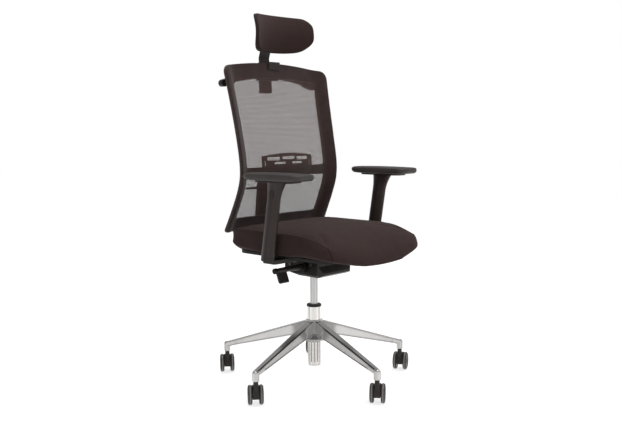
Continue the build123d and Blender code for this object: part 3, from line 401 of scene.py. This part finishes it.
wheel_parts = (("tread", tread_outline, tread_rubber), ("disc", disc_outline, wheel_nylon),
               ("cap", cap_outline, wheel_nylon))

for number, rest_swivel in enumerate(rest_swivels):
    leg_turn = math.radians(first_leg_angle + 360 / leg_count * number)
    place = Matrix.Translation((stem_circle * math.cos(leg_turn), stem_circle * math.sin(leg_turn), 0.0))
    place @= Matrix.Rotation(math.radians(rest_swivel), 4, "Z")
    place @= Matrix.Translation((trail, 0.0, wheel_radius))
    caster = f"caster_{number + 1}"
    for hand, flip in (("left", 1), ("right", -1)):
        body = f"{caster}_wheel_{hand}"
        for part, outline, finish in wheel_parts:
            shape = turned_ring([(radius, out + wheel_inner) for radius, out in outline])
            bmesh.ops.transform(shape, matrix=place @ Matrix.Diagonal((1, flip, 1, 1)), verts=shape.verts)
            bmesh.ops.recalc_face_normals(shape, faces=shape.faces)
            piece = add_mesh(f"{body}_{part}", shape, finish)
            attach(piece, body)
            "caster_tread" if part == "tread" else "caster_plastic"
            if part == "tread":
                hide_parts(body)
    dress(caster_nylon, f"{caster}_hood")
    dress(zinc, f"{caster}_stem", f"{caster}_axle")

# ---- tilt mechanism -------------------------------------------------------------------
# A folded and coated steel trough on the gas cylinder, closed in front by a moulded nose.
# A lever on the sitter's right lifts to press the release pin; its end knob pulls out.
# Two blackened pins carry the seat and the back, with a plated spring round the rear one.

coated_steel = moulded("black coated steel", (0.011, 0.009, 0.0085), 0.42, grain=0.5, lighter=1.8, gloss=0.2)
nose_plastic = moulded("nose plastic", (0.034, 0.028, 0.026), 0.36, grain=0.4, lighter=1.5)
dress(coated_steel, "mechanism_housing", "tilt_lock_rod")
dress(nose_plastic, "mechanism_front_cover", "height_lever")
dress(zinc, "tilt_spring")

blackened, shader, wire = material("blackened steel", {"Metallic": 0.8})
place = wire.node("TexCoord", output=3)
scale = wire.node("TexNoise", {}, {"Vector": place, "Scale": 240.0, "Detail": 4.0})
scale.blend((0.055, 0.050, 0.048, 1), (0.12, 0.11, 0.105, 1)).into(shader, "Base Color")
(0.32 + scale * 0.22).into(shader, "Roughness")
wire.node("Bump", {}, {"Strength": 0.3, "Distance": 0.0002, "Height": scale}).into(shader, "Normal")
dress(blackened, "pivot_pins")

# ---- seat pan -------------------------------------------------------------------------
# A black plastic shell moulded to the plan of the cushion and set in from its edge.  Two
# lugs below it turn on the front pin, and the arm brackets are bolted to its underside.

pan_plastic = moulded("pan plastic", (0.016, 0.013, 0.012), 0.52, grain=0.6)
dress(pan_plastic, "seat_pan")

# ---- seat cushion ---------------------------------------------------------------------
# Moulded foam under a knitted cover.  One panel makes the top and runs down over the front;
# a side panel is sewn to it all round, and a topstitch follows the seam a finger inside.


def woven(name, colour, pitch):
    """Knitted cloth, sewn with a topstitch: crossing yarns from the piece's own UVs, in metres."""
    stitch_inset, stitch_pitch = 0.0075, 0.0042
    made, shader, wire = material(name, {"Sheen Weight": 0.08, "Sheen Roughness": 0.45,
                                         "Specular IOR Level": 0.2, "Sheen Tint": (0.75, 0.66, 0.64, 1.0)})
    flat = wire.node("UVMap", {"uv_map": "cloth"})
    u, v, _ = wire.split(flat)
    a, b = u / pitch, v / pitch
    cell_a, cell_b = a.maths("FLOOR"), b.maths("FLOOR")
    over = ((cell_a + cell_b) * 0.5).maths("FRACT") > 0.25
    across = (a.maths("FRACT") * math.pi).maths("SINE")
    along = (b.maths("FRACT") * math.pi).maths("SINE")
    height = over * (across * 0.75 + along * 0.25) + (1 - over) * (along * 0.75 + across * 0.25)
    yarn = wire.node("CombineXYZ", {}, {0: cell_a * over, 1: cell_b * (1 - over), 2: over * 7.0})
    tint = wire.node("TexWhiteNoise", {"noise_dimensions": "3D"}, {0: yarn})
    place = wire.node("TexCoord", output=3)
    fuzz = wire.node("TexNoise", {}, {"Vector": place, "Scale": 900.0, "Detail": 3.0})
    cloud = wire.node("TexNoise", {}, {"Vector": place, "Scale": 9.0, "Detail": 3.0})
    # The yarn relief is painted into the colour: crests lighter, painted shade between the yarns.
    shade = height * 0.40 + tint * 0.22 + fuzz * 0.28 + cloud * 0.25
    seam = wire.node("Attribute", {"attribute_name": "seam"}, {}, 2)
    run = wire.node("Attribute", {"attribute_name": "run"}, {}, 2)
    fold = abs(seam).step(0.0030, 0.0)
    off_stitch = abs(seam - stitch_inset)
    each_stitch = abs((run / stitch_pitch).maths("FRACT") - 0.5).step(0.36, 0.26)
    stitch = off_stitch.step(0.0011, 0.0004) * each_stitch
    channel = off_stitch.step(0.0030, 0.0004)
    height = height * 0.30 - fold * 4.0 - channel * 0.9 + stitch * 1.6
    # The seam line is painted darker, as shade in its crease; the stitches are lighter.
    shade = shade - fold * 0.45 + stitch * 0.30
    shade.step(0.05, 1.0).blend(tinted(colour, 0.50), tinted(colour, 1.55)).into(shader, "Base Color")
    (0.82 + fuzz * 0.12).into(shader, "Roughness")
    wire.node("Bump", {}, {"Strength": 0.7, "Distance": 0.0006, "Height": height}).into(shader, "Normal")
    return made


seat_fabric = woven("seat fabric", (0.041, 0.0245, 0.0225), 0.0014)


def cell_box(size, cells):
    """A closed box of even quads about the origin; its flat pattern is kept as UVs in metres."""
    shape = bmesh.new()
    bmesh.ops.create_cube(shape, size=1.0)
    for axis in range(3):
        along = [edge for edge in shape.edges if abs((edge.verts[0].co - edge.verts[1].co)[axis]) > 0.9]
        bmesh.ops.subdivide_edges(shape, edges=along, cuts=cells[axis] - 1, use_grid_fill=True)
    bmesh.ops.scale(shape, vec=size, verts=shape.verts)
    pattern = shape.loops.layers.uv.new("cloth")
    for face in shape.faces:
        across = 1 if abs(face.normal.x) > 0.5 else 0
        upright = 1 if abs(face.normal.z) > 0.5 else 2
        for corner in face.loops:
            co = corner.vert.co
            corner[pattern].uv = (co[across], co[upright])
    return shape


def eased(first, second, reach_first, reach_second):
    """Distances from two faces that meet in an edge, after that edge is rounded."""
    p, q = 1 - first / reach_first, 1 - second / reach_second
    if p <= 0 or q <= 0:
        return first, second
    ratio = max(p, q) / math.hypot(p, q)
    return reach_first * (1 - p * ratio), reach_second * (1 - q * ratio)


def cornered(side, front, reach):
    """Distances from the side and the front once the corner between them is rounded in plan."""
    p, q = 1 - side / reach, 1 - front / reach
    if p <= 0 or q <= 0:
        return side, front
    long = math.hypot(1, q)
    return reach * (1 - p / long), reach * (1 - q + (q - q / long) * p * p)


def marked(made, name):
    """The numbers of the points that carry a mark."""
    return [number for number, mark in enumerate(made.data.attributes[name].data) if mark.value]


def mark_seams(made, seam_points, inside):
    """Write each point's signed distance from the nearest seam, and its place along it."""
    finder = kdtree.KDTree(len(seam_points))
    for number, point in enumerate(seam_points):
        finder.insert(made.data.vertices[point].co, number)
    finder.balance()
    distances, places = [], []
    for vertex in made.data.vertices:
        near, number, distance = finder.find(vertex.co)
        distances.append(distance if inside[vertex.index] else -distance)
        places.append(near.x + near.y + near.z)
    for name, values in (("seam", distances), ("run", places)):
        made.data.attributes.new(name, "FLOAT", "POINT").data.foreach_set("value", values)


def swell(made, held, pressure, most):
    """Let air pressure round the cover between its held points; none moves further than most."""
    scene, moments = bpy.context.scene, 20
    held_group = made.vertex_groups.new(name="held")
    held_group.add(held, 1.0, "REPLACE")
    cloth = made.modifiers.new("cloth", "CLOTH")
    cloth.settings.quality = 6
    cloth.settings.mass = 0.25
    cloth.settings.tension_stiffness = 25.0
    cloth.settings.compression_stiffness = 25.0
    cloth.settings.shear_stiffness = 12.0
    cloth.settings.bending_stiffness = 2.0
    cloth.settings.vertex_group_mass = "held"
    cloth.settings.use_pressure = True
    cloth.settings.uniform_pressure_force = pressure
    cloth.settings.effector_weights.gravity = 0.0
    cloth.collision_settings.use_collision = False
    cloth.point_cache.frame_start, cloth.point_cache.frame_end = 1, moments
    for moment in range(1, moments + 1):
        scene.frame_set(moment)
    grown = made.evaluated_get(bpy.context.evaluated_depsgraph_get()).data
    for vertex, other in zip(made.data.vertices, grown.vertices):
        move = other.co - vertex.co
        if move.length > most:
            move *= most / move.length
        vertex.co += move
    made.modifiers.remove(cloth)
    made.vertex_groups.remove(held_group)
    scene.frame_set(1)


def refine(made):
    """One more level of smooth subdivision, made part of the mesh."""
    smooth = made.modifiers.new("smooth", "SUBSURF")
    smooth.levels = smooth.render_levels = 1
    fine = bpy.data.meshes.new_from_object(made.evaluated_get(bpy.context.evaluated_depsgraph_get()))
    made.modifiers.remove(smooth)
    old, made.data = made.data, fine
    bpy.data.meshes.remove(old)


half_seat, seat_front, seat_rear = 0.2445, -0.3115, 0.1840
seat_top, seat_low, seat_lip, lip_curve = 0.5535, 0.4785, 0.4495, 0.47
lip_end, lip_run = -0.274, 0.017
rim_lift, side_rim, rear_rim = 0.003, 0.034, 0.045
rear_lift, rear_lift_start, rear_lift_run = 0.024, -0.06, 0.244
pan_edge_lift, pan_edge, pan_edge_reach = 0.008, -0.175, 0.05
rear_fall, fall_start, fall_run = 0.003, 0.09, 0.09
crown_height, crown_middle, crown_reach, waist_depth = 0.0075, -0.055, 0.25, 0.004
nose_long, nose_high, front_corner, rear_corner = 0.139, 0.092, 0.075, 0.060
side_round, side_round_gain, rear_round = (0.010, 0.008), (0.040, 0.042), (0.026, 0.022)
bend_start, bend_run = 0.10, 0.13
cushion_cells, touching = (60, 60, 10), 1e-4
air_pressure, cushion_growth = 3.0, 0.009
middle_y = (seat_front + seat_rear) / 2
middle_z = (seat_top + seat_low) / 2
shape = cell_box((2 * half_seat, seat_rear - seat_front, seat_top - seat_low), cushion_cells)
bmesh.ops.translate(shape, vec=(0, middle_y, middle_z), verts=shape.verts)
on_side = shape.verts.layers.int.new("on_side")
on_seam = shape.verts.layers.int.new("on_seam")
on_base = shape.verts.layers.int.new("on_base")
for vertex in shape.verts:
    x, y, z = vertex.co
    at_side = abs(x) > half_seat - touching
    at_rear = y > seat_rear - touching
    at_front = y < seat_front + touching
    at_top = z > seat_top - touching
    at_base = z < seat_low + touching
    vertex[on_side] = int((at_side or at_rear) and not at_top)
    vertex[on_seam] = int((at_side and (at_top or at_front)) or (at_rear and at_top))
    vertex[on_base] = int(at_base)
    rise = (z - seat_low) / (seat_top - seat_low)
    side, front, rear = half_seat - abs(x), y - seat_front, seat_rear - y
    # Below, the cushion is flat on the pan, turns up at its rim and laps down over the front.
    lip = seat_lip + lip_curve * x * x
    lift = rim_lift + rear_lift * max(0.0, (y - rear_lift_start) / rear_lift_run) ** 1.5
    lift += pan_edge_lift * math.exp(-((y - pan_edge) / pan_edge_reach) ** 2)
    under_edge = lift * max(0.0, 1 - min(side / side_rim, rear / rear_rim)) ** 1.5
    ramp = ramped(y, lip_end, lip_run)
    low = lip + (seat_low + under_edge - lip) * ramp * ramp * (3 - 2 * ramp)
    # Above, it is crowned a little and falls away at the rear.
    lengthways = max(0.0, 1 - ((y - crown_middle) / crown_reach) ** 2)
    crown = crown_height * max(0.0, 1 - (x / half_seat) ** 2) * lengthways
    high = seat_top + crown - rear_fall * max(0.0, (y - fall_start) / fall_run)
    top = (1 - rise) * (high - low)
    # Its edges are rounded: deeply over the front, and more at the sides towards the front.
    front, top = eased(front, top, nose_long, nose_high)
    bend = ramped(-y, bend_start, bend_run) ** 2
    side, top = eased(side, top, *[least + gain * bend for least, gain in zip(side_round, side_round_gain)])
    rear, top = eased(rear, top, *rear_round)
    side, front = cornered(side, front, front_corner)
    side, rear = eased(side, rear, rear_corner, rear_corner)
    waist = waist_depth * math.sin(math.pi * min(1.0, max(0.0, rise))) if at_side or at_rear else 0.0
    across = math.copysign(half_seat - side, x) * (1 - waist / half_seat)
    lengthwise = seat_front + front if y < middle_y else seat_rear - rear - waist * at_rear
    vertex.co = (across, lengthwise, high - top)

# The cloth is drawn smooth over the two front corners, where three rounded edges meet.
corner_passes, corner_pull = 32, 0.5
corner_inside, corner_behind, corner_fade = 0.10, 0.12, 0.09
loose = []
for vertex in shape.verts:
    outer = ramped(abs(vertex.co.x), corner_inside, corner_fade)
    ahead = ramped(-vertex.co.y, corner_behind, corner_fade)
    if outer * ahead > 0:
        beside = [edge.other_vert(vertex) for edge in vertex.link_edges]
        loose.append((vertex, corner_pull * outer * ahead, beside))
for _ in range(corner_passes):
    means = [sum((other.co for other in others), Vector()) / len(others) for _, _, others in loose]
    for (vertex, share, _), mean in zip(loose, means):
        vertex.co = vertex.co.lerp(mean, share)

cushion = add_mesh("seat_cushion_cover", shape, seat_fabric)
seam_points = marked(cushion, "on_seam")
inside = [not mark.value for mark in cushion.data.attributes["on_side"].data]
swell(cushion, sorted(set(seam_points + marked(cushion, "on_base"))), air_pressure, cushion_growth)
mark_seams(cushion, seam_points, inside)
refine(cushion)
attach(cushion, "seat")
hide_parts("seat_cushion")

# ---- arms -----------------------------------------------------------------------------
# A bracket bolted under the pan carries an oval post.  A hollow sleeve slides on it and is
# held by a push button; on its top plate sits a soft skinned foam pad, lens shaped.

bracket_coat = moulded("bracket coating", (0.030, 0.023, 0.021), 0.40, grain=0.4, lighter=1.5)
arm_plastic = moulded("arm plastic", (0.039, 0.027, 0.024), 0.37, grain=0.3, edge=0.0014, lighter=1.7)
dress(bracket_coat, "arm_bracket_left", "arm_bracket_right")
dress(blackened, "arm_bolts")
dress(arm_plastic, "arm_sleeve_left", "arm_sleeve_right", "arm_button_left", "arm_button_right",
      "arm_pad_plate_left", "arm_pad_plate_right")

pad_skin, shader, wire = material("soft pad skin", {"Specular IOR Level": 0.45})
place = wire.node("TexCoord", output=3)
leather = wire.node("TexVoronoi", {"feature": "SMOOTH_F1"}, {"Vector": place, "Scale": 700.0})
fine = wire.node("TexNoise", {}, {"Vector": place, "Scale": 1600.0, "Detail": 2.0})
rub = wire.node("TexNoise", {}, {"Vector": place, "Scale": 14.0, "Detail": 4.0})
skin_dark, skin_light = (0.046, 0.038, 0.037, 1), (0.078, 0.067, 0.065, 1)
(rub * 0.7 + leather * 0.3).step(0.25, 0.85).blend(skin_dark, skin_light).into(shader, "Base Color")
(0.46 + rub * 0.16).into(shader, "Roughness")
wire.node("Bump", {}, {"Strength": 0.35, "Distance": 0.0004, "Height": leather * 0.8 + fine * 0.3}).into(
    shader, "Normal")

pad_x, pad_y, pad_low = 0.266, -0.096, 0.7235
half_wide, half_long, pad_thick, pad_cells = 0.0468, 0.1260, 0.0248, (16, 46, 8)
front_plan, rear_plan = (0.024, 0.026), (0.030, 0.034)
top_side, top_end, base_side, base_end = (0.006, 0.006), (0.007, 0.006), (0.010, 0.009), (0.014, 0.009)
front_tip, rear_tip, tip_start, tip_spread = 0.0015, 0.0030, 0.35, 0.42
end_fall, side_fall = 0.0020, 0.0018
for hand, flip in (("left", 1), ("right", -1)):
    shape = cell_box((2 * half_wide, 2 * half_long, pad_thick), pad_cells)
    for vertex in shape.verts:
        x, y, z = vertex.co
        rise = z / pad_thick + 0.5
        side, end = half_wide - abs(x), half_long - abs(y)
        reach = abs(y) / half_long
        low = (front_tip if y < 0 else rear_tip) * max(0.0, reach - tip_start) ** 2 / tip_spread
        high = pad_thick - end_fall * reach ** 2 - side_fall * (x / half_wide) ** 2
        top, base = (1 - rise) * (high - low), rise * (high - low)
        side, top = eased(side, top, *top_side)
        end, top = eased(end, top, *top_end)
        if rise < 0.5:
            side, base = eased(side, base, *base_side)
            end, base = eased(end, base, *base_end)
        side, end = eased(side, end, *(front_plan if y < 0 else rear_plan))
        height = low + base if rise < 0.5 else high - top
        vertex.co = (math.copysign(half_wide - side, x), math.copysign(half_long - end, y), height)
    bmesh.ops.translate(shape, vec=(flip * pad_x, pad_y, pad_low), verts=shape.verts)
    pad = add_mesh(f"arm_pad_{hand}_skin", shape, pad_skin)
    refine(pad)
    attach(pad, f"arm_pad_{hand}")
    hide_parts(f"arm_pad_{hand}")

# ---- back frame and upright -----------------------------------------------------------
# A moulded frame with wide side bands that wrap forward, carried at its crossbar and foot
# by a flat upright which hinges in the mechanism.

frame_plastic = moulded("frame plastic", (0.034, 0.0245, 0.023), 0.40, grain=0.3, edge=0.0018, lighter=1.6)
dress(frame_plastic, "back_frame", "back_upright")

# ---- lumbar support -------------------------------------------------------------------
# A thin curved panel with two rows of slots, moulded in the frame's plastic.  It slides up
# and down behind the net to meet the small of the back.

dress(frame_plastic, "lumbar_support")

# ---- coat hanger ----------------------------------------------------------------------
# A bowed bar with a flat tip at each end, in the same plastic.  The headrest bracket grips
# its middle, behind the top of the frame.

dress(frame_plastic, "coat_hanger")

# ---- headrest bracket and post --------------------------------------------------------
# The bracket hooks over the top of the frame and carries a sleeve.  The flat post slides in
# the sleeve and ends above in the barrel and pin that the headrest tilts on.

dress(frame_plastic, "headrest_bracket", "headrest_post")

# ---- back mesh ------------------------------------------------------------------------
# One knitted net stretched over the front of the frame.  Its hem is drawn round the rim of
# the frame and pressed into a groove behind.

mesh_wide, mesh_high, drape = 0.0022, 0.0044, 1.03
frame_foot, frame_top = 0.535, 1.093
opening_half, opening_gain, opening_pinch = 0.207, 0.004, 0.0448
lower_opening, upper_opening = ((0.575, 0.580), (0.723, 0.718)), ((0.750, 0.756), (1.066, 1.056))

net, shader, wire = material("knitted net", {"Specular IOR Level": 0.35, "Sheen Weight": 0.15})
flat = wire.node("UVMap", {"uv_map": "cloth"})
u, v, _ = wire.split(flat)
hem = wire.node("Attribute", {"attribute_name": "hem"}, {}, 2)
strand_a = abs((u / mesh_wide + v / mesh_high).maths("FRACT") - 0.5)
strand_b = abs((u / mesh_wide - v / mesh_high).maths("FRACT") - 0.5)
rib = abs((u / mesh_wide).maths("FRACT") - 0.5)
thread = strand_a.maths("MINIMUM", strand_b)
cover = thread.step(0.215, 0.170).maths("MAXIMUM", rib.step(0.17, 0.12))
cloud = wire.node("TexNoise", {}, {"Vector": flat, "Scale": 26.0, "Detail": 3.0})
yarn = wire.node("TexNoise", {}, {"Vector": flat, "Scale": 1900.0, "Detail": 1.0})
# The threads are painted lighter and redder over the frame's two openings, as light shining
# through them, and darker over its bands, as painted shade from the black behind them.
height = v / drape
share = (height - frame_foot) / (frame_top - frame_foot)
inner = opening_half + share * opening_gain - share * (1 - share) * opening_pinch
upper, lower = [height.step(*foot) * height.step(*head) for foot, head in (upper_opening, lower_opening)]
window = upper.maths("MAXIMUM", lower) * (inner - abs(u)).step(-0.002, 0.002)
shade = (yarn * 0.6 + cloud * 0.4).step(0.3, 0.75)
shaded_net_colour = shade.blend((0.040, 0.0215, 0.019, 1), (0.070, 0.040, 0.036, 1))
backlit_net_colour = shade.blend((0.052, 0.026, 0.0215, 1), (0.088, 0.048, 0.040, 1))
# Painted light: backlit thread colour in the openings, painted shade over the bands.
window.blend(shaded_net_colour, backlit_net_colour).into(shader, "Base Color")
(0.62 + yarn * 0.2).into(shader, "Roughness")
cover.maths("MAXIMUM", hem.step(0.5, 0.9)).into(shader, "Alpha")
wire.node("Bump", {}, {"Strength": 0.5, "Distance": 0.0005, "Height": 0.5 - thread}).into(shader, "Normal")

lumbar_z, lumbar_y = 0.718, 0.0987
lean_above, lean_below = math.tan(math.radians(12.9)), math.tan(math.radians(27.7))
bend_reach, wing_depth, wing_start, wing_fade = 0.061, 0.026, 0.216, 0.009
bulge_depth, bulge_half, bulge_z, bulge_reach = 0.015, 0.187, 0.775, 0.095
foot_half, top_gain, waist_half, waist_z = 0.244, 0.004, 0.235, 0.744


def back_depth(x, z):
    """How far back the front of the frame lies at a place seen from the front."""
    rise = z - lumbar_z
    edge = lumbar_y + (lean_above + lean_below) / 2 * (math.hypot(rise, bend_reach) - bend_reach)
    edge += (lean_above - lean_below) / 2 * rise
    wing = wing_depth / (1 + math.exp((abs(x) - wing_start) / wing_fade))
    across = max(0.0, 1 - (x / bulge_half) ** 2)
    return edge + wing - bulge_depth * across * math.exp(-((z - bulge_z) / bulge_reach) ** 2)


def rim_half(z):
    """Half width of the frame at a height: it narrows at the waist."""
    share = (z - frame_foot) / (frame_top - frame_foot)
    waist_share = (waist_z - frame_foot) / (frame_top - frame_foot)
    sag = (foot_half + waist_share * top_gain - waist_half) / (4 * waist_share * (1 - waist_share))
    return foot_half + share * top_gain - 4 * sag * share * (1 - share)


# Each fold of the hem goes so far back and so far out from the one before; the first only
# begins to cover the cells of the net.
hem_folds = ((0.0008, 0.0010, 0.4), (0.0055, 0.0009, 1.0), (0.0060, 0.0, 1.0), (0.0022, -0.0030, 1.0))
net_gap, proud, frame_middle = 0.0004, 0.0013, 0.814
top_corner, foot_corner, top_bow, foot_bow = 0.028, 0.014, 0.021, 0.004
shape = bmesh.new()
bmesh.ops.create_grid(shape, x_segments=120, y_segments=140, size=1.0)
pattern = shape.loops.layers.uv.new("cloth")
hem_mark = shape.verts.layers.float.new("hem")
for vertex in shape.verts:
    across, rise = vertex.co.x, vertex.co.y * 0.5 + 0.5
    straight = frame_foot + rise * (frame_top - frame_foot)
    half = rim_half(straight) + net_gap
    side = half * (1 - abs(across))
    bow = 1 - across * across
    low, high = frame_foot - foot_bow * bow, frame_top + top_bow * bow
    base, top = rise * (high - low), (1 - rise) * (high - low)
    side, top = eased(side, top, top_corner, top_corner)
    side, base = eased(side, base, foot_corner, foot_corner)
    x = math.copysign(half - side, across)
    z = high - top if rise > 0.5 else low + base
    vertex.co = (x, 0.0, z)
for face in shape.faces:
    for corner in face.loops:
        corner[pattern].uv = (corner.vert.co.x, corner.vert.co.z * drape)
rim = [edge for edge in shape.edges if edge.is_boundary]
for vertex in shape.verts:
    vertex.co.y = back_depth(vertex.co.x, vertex.co.z) - proud
for back, out, mark in hem_folds:
    made = bmesh.ops.extrude_edge_only(shape, edges=rim)["geom"]
    ring = [part for part in made if isinstance(part, bmesh.types.BMVert)]
    rim = [part for part in made if isinstance(part, bmesh.types.BMEdge)]
    for vertex in ring:
        away = Vector((vertex.co.x, 0.0, (vertex.co.z - frame_middle) * 0.7)).normalized()
        vertex.co += Vector((0.0, back, 0.0)) + away * out
        vertex[hem_mark] = mark
bmesh.ops.recalc_face_normals(shape, faces=shape.faces)
back_net = add_mesh("back_net", shape, net)
if sum(polygon.normal.y for polygon in back_net.data.polygons[:50]) > 0:
    back_net.data.flip_normals()
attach(back_net, "back")
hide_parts("back_mesh")

# ---- headrest -------------------------------------------------------------------------
# A curved foam pad in the seat's cloth on a plastic back plate.  Two lugs on the plate hold
# the hinge pin in the head of the sliding post.

half_head, head_low, head_high, head_thick = 0.1365, 1.1515, 1.2815, 0.035
head_front, head_back, front_wrap, back_wrap = 0.1685, 0.2035, 0.051, 0.070
plate_face, plate_reach, thinnest, head_cells, head_growth = 0.1985, 0.30, 0.011, (40, 7, 20), 0.004
top_arch, foot_arch, top_round, foot_round = 0.007, 0.008, (0.033, 0.034), (0.056, 0.046)
hollow_z, hollow_reach, front_hollow, back_hollow, end_hollow = 1.212, 0.062, 0.016, 0.002, 0.015
shape = cell_box((2 * half_head, head_thick, head_high - head_low), head_cells)
on_seam = shape.verts.layers.int.new("on_seam")
on_back = shape.verts.layers.int.new("on_back")
for vertex in shape.verts:
    x, y, z = vertex.co
    depth = y / head_thick + 0.5
    rise = z / (head_high - head_low) + 0.5
    rim = abs(x) > half_head - 1e-4 or not 1e-3 < rise < 1 - 1e-3
    vertex[on_seam] = int(rim and (depth < 1e-3 or depth > 1 - 1e-3))
    vertex[on_back] = int(depth > 1 - 1e-3)
    reach = abs(x) / half_head
    high = head_high - top_arch * reach ** 2
    low = head_low + foot_arch * reach ** 2
    side = half_head - abs(x)
    base, top = rise * (high - low), (1 - rise) * (high - low)
    side, top = eased(side, top, *top_round)
    side, base = eased(side, base, *foot_round)
    x = math.copysign(half_head - side, x)
    z = high - top if rise > 0.5 else low + base
    reach = abs(x) / half_head
    hollow = ((z - hollow_z) / hollow_reach) ** 2
    front = head_front - front_wrap * reach ** 2 + front_hollow * hollow
    back = head_back - back_wrap * reach ** 2 + (back_hollow + end_hollow * reach ** 2) * hollow
    if reach < plate_reach:
        back = min(back, plate_face)
    vertex.co = (x, front + depth * (max(back, front + thinnest) - front), z)
headrest = add_mesh("headrest_cover", shape, seat_fabric)
seam_points = marked(headrest, "on_seam")
swell(headrest, sorted(set(seam_points + marked(headrest, "on_back"))), air_pressure, head_growth)
mark_seams(headrest, seam_points, [True] * len(headrest.data.vertices))
refine(headrest)
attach(headrest, "headrest_pad")
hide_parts("headrest_pad")

plate_size, plate_corner, plate_place = (0.072, 0.0022, 0.092), 0.012, (0.0, 0.2003, 1.2075)
lug_size, lug_x, lug_y = (0.008, 0.018, 0.016), 0.0164, 0.2085
hinge_y, hinge_z, barrel_radius, barrel_length = 0.217, 1.204, 0.008, 0.0078
shape = bmesh.new()
bmesh.ops.create_cube(shape, size=1.0)
bmesh.ops.scale(shape, vec=plate_size, verts=shape.verts)
corners = [edge for edge in shape.edges if abs(edge.verts[0].co.y - edge.verts[1].co.y) > 0.001]
bmesh.ops.bevel(shape, geom=corners, offset=plate_corner, segments=6, profile=0.5, affect="EDGES",
                material=-1)
bmesh.ops.translate(shape, vec=plate_place, verts=shape.verts)
for flip in (-1, 1):
    lug = bmesh.ops.create_cube(shape, size=1.0)["verts"]
    bmesh.ops.scale(shape, vec=lug_size, verts=lug)
    bmesh.ops.translate(shape, vec=(flip * lug_x, lug_y, hinge_z), verts=lug)
    barrel = bmesh.ops.create_cone(shape, cap_ends=True, segments=40, radius1=barrel_radius,
                                   radius2=barrel_radius, depth=barrel_length)["verts"]
    bmesh.ops.rotate(shape, cent=(0, 0, 0), matrix=Matrix.Rotation(math.pi / 2, 3, "Y"), verts=barrel)
    bmesh.ops.translate(shape, vec=(flip * lug_x, hinge_y, hinge_z), verts=barrel)
plate = add_mesh("headrest_back_plate", shape, frame_plastic, smooth=False)
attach(plate, "headrest_pad")
